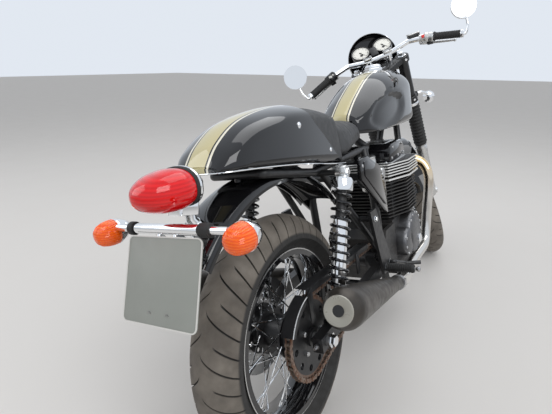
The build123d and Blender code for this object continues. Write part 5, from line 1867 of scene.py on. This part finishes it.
def reservoir():
    """The front brake's fluid box on the right bar, with its lid."""
    up = Vector((0.05, -0.2, 0.97)).normalized()
    base = Vector((172, 1108, 1076))
    at = aimed(base, up)
    return [slab(rounded_box(17, 25, 6), 20, at, SATIN_BLACK, bevel=2.5),
            slab(rounded_box(18.5, 26.5, 6), 5, at @ Matrix.Translation((0, 0, 20)), ALLOY,
                 bevel=1.2)]


piece("levers_polished", "steering", mirrored(lever) + reservoir(), replaces=("levers",))


def mirror(side):
    """A round mirror: chromed shell, glass, bent stem and bar-end clamp."""
    face = Vector((side * 372, 1012, 1112))
    end, run = bar_frame(side)
    out = run.normalized() * -1
    stem = smooth_line([end + out * 8, end + out * 20, (side * 366, 1021, 1030),
                        (side * 371, 1022, 1062), (side * 372, 1022, 1090)], 7)
    return [
        spun([(47, -0.4), (50, -0.4), (51, 2), (51, 9), (48, 15), (40, 19.5), (24, 22),
              (AXIS, 22.5), (AXIS, 1.6), (46.6, 1.6)], face, (0, 1, 0), CHROME, 72),
        lathe([(47, 0.6), (47, 2.2)], face, (0, 1, 0), MIRROR, 72),
        tube(stem, 5, CHROME, 14),
        lathe([(15, 0), (16, 2), (16, 11), (13, 14), (6, 15)], end, out, CHROME, 36),
    ]


piece("mirrors_round", "steering", mirrored(mirror), replaces=("mirrors",))


def riser(side):
    """A bar clamp cap with its two bolts, on the top yoke."""
    seat = fork_point(side * 45, 46.4, 1163.8)
    cap_at = aimed(seat, STEER_UP)
    parts = [slab(rounded_box(13, 19, 5), 8, cap_at @ Matrix.Translation((0, 0, 10)), ALLOY,
                  bevel=2)]
    for v in (-13, 13):
        parts.append(lathe([(5, 6), (5.5, 5), (5.5, 0)], cap_at @ Vector((0, v, 18)), STEER_UP,
                           STEEL, 12))
    return parts


piece("bar_clamps", "steering", mirrored(riser) + [
    lathe([(12, 10), (14, 8), (14, 0), (20, 0), (20, -2)], fork_point(0, 0, 1128), STEER_UP,
          CHROME, 6),
])

# Camera at the photograph's view
CAMERA_AT = Vector((0.6153, -1.5362, 1.0071))
CAMERA_TURN = radians(31.52)
CAMERA_DIP = radians(18.89)
CAMERA_ROLL = radians(0.36)
camera = bpy.data.cameras.new("camera")
camera.sensor_width = 36.0
camera.lens = 27.56
camera_object = linked("camera", camera)
camera_object.matrix_world = (
    Matrix.Translation(CAMERA_AT) @ Matrix.Rotation(CAMERA_TURN, 4, "Z")
    @ Matrix.Rotation(pi / 2 - CAMERA_DIP, 4, "X") @ Matrix.Rotation(CAMERA_ROLL, 4, "Z")
)
bpy.context.scene.camera = camera_object

# Floor, surroundings and lamps
ground = bpy.data.meshes.new("floor")
ground.from_pydata([(-30, -30, 0), (30, -30, 0), (30, 30, 0), (-30, 30, 0)], [], [(0, 1, 2, 3)])
floor = linked("floor", ground)
ground.materials.append(finish("floor", (0.62, 0.61, 0.6), (0.6, 0.75), grain=4))

world = bpy.data.worlds.new("studio")
bpy.context.scene.world = world
world.use_nodes = True
sky = world.node_tree
sky.nodes.clear()
path = added(sky, "ShaderNodeLightPath")
seen = reckoned(sky, "MAXIMUM", path.outputs["Is Camera Ray"], path.outputs["Is Glossy Ray"])
seen = reckoned(sky, "MAXIMUM", seen, path.outputs["Is Transmission Ray"])
back = added(sky, "ShaderNodeBackground", {
    "Color": mixed(sky, seen, (0.6, 0.6, 0.6), (0.76, 0.81, 0.88)), "Strength": 1.0})
added(sky, "ShaderNodeOutputWorld", {0: back.outputs[0]})


def lamp(name, place, size, power):
    """A square soft lamp that looks at the middle of the machine."""
    light = bpy.data.lights.new(name, "AREA")
    light.size = size
    light.energy = power
    holder = linked(name, light)
    aim = Vector((0, 0, 0.6)) - Vector(place)
    turn = aim.to_track_quat("-Z", "Y").to_matrix().to_4x4()
    holder.matrix_world = Matrix.Translation(place) @ turn


lamp("key", (3.0, -2.0, 4.2), 3.0, 120)
lamp("fill", (-3.5, -2.5, 3.0), 3.0, 45)
lamp("top", (0.0, 1.5, 4.5), 3.5, 55)

bpy.context.scene.view_settings.view_transform = "Standard"
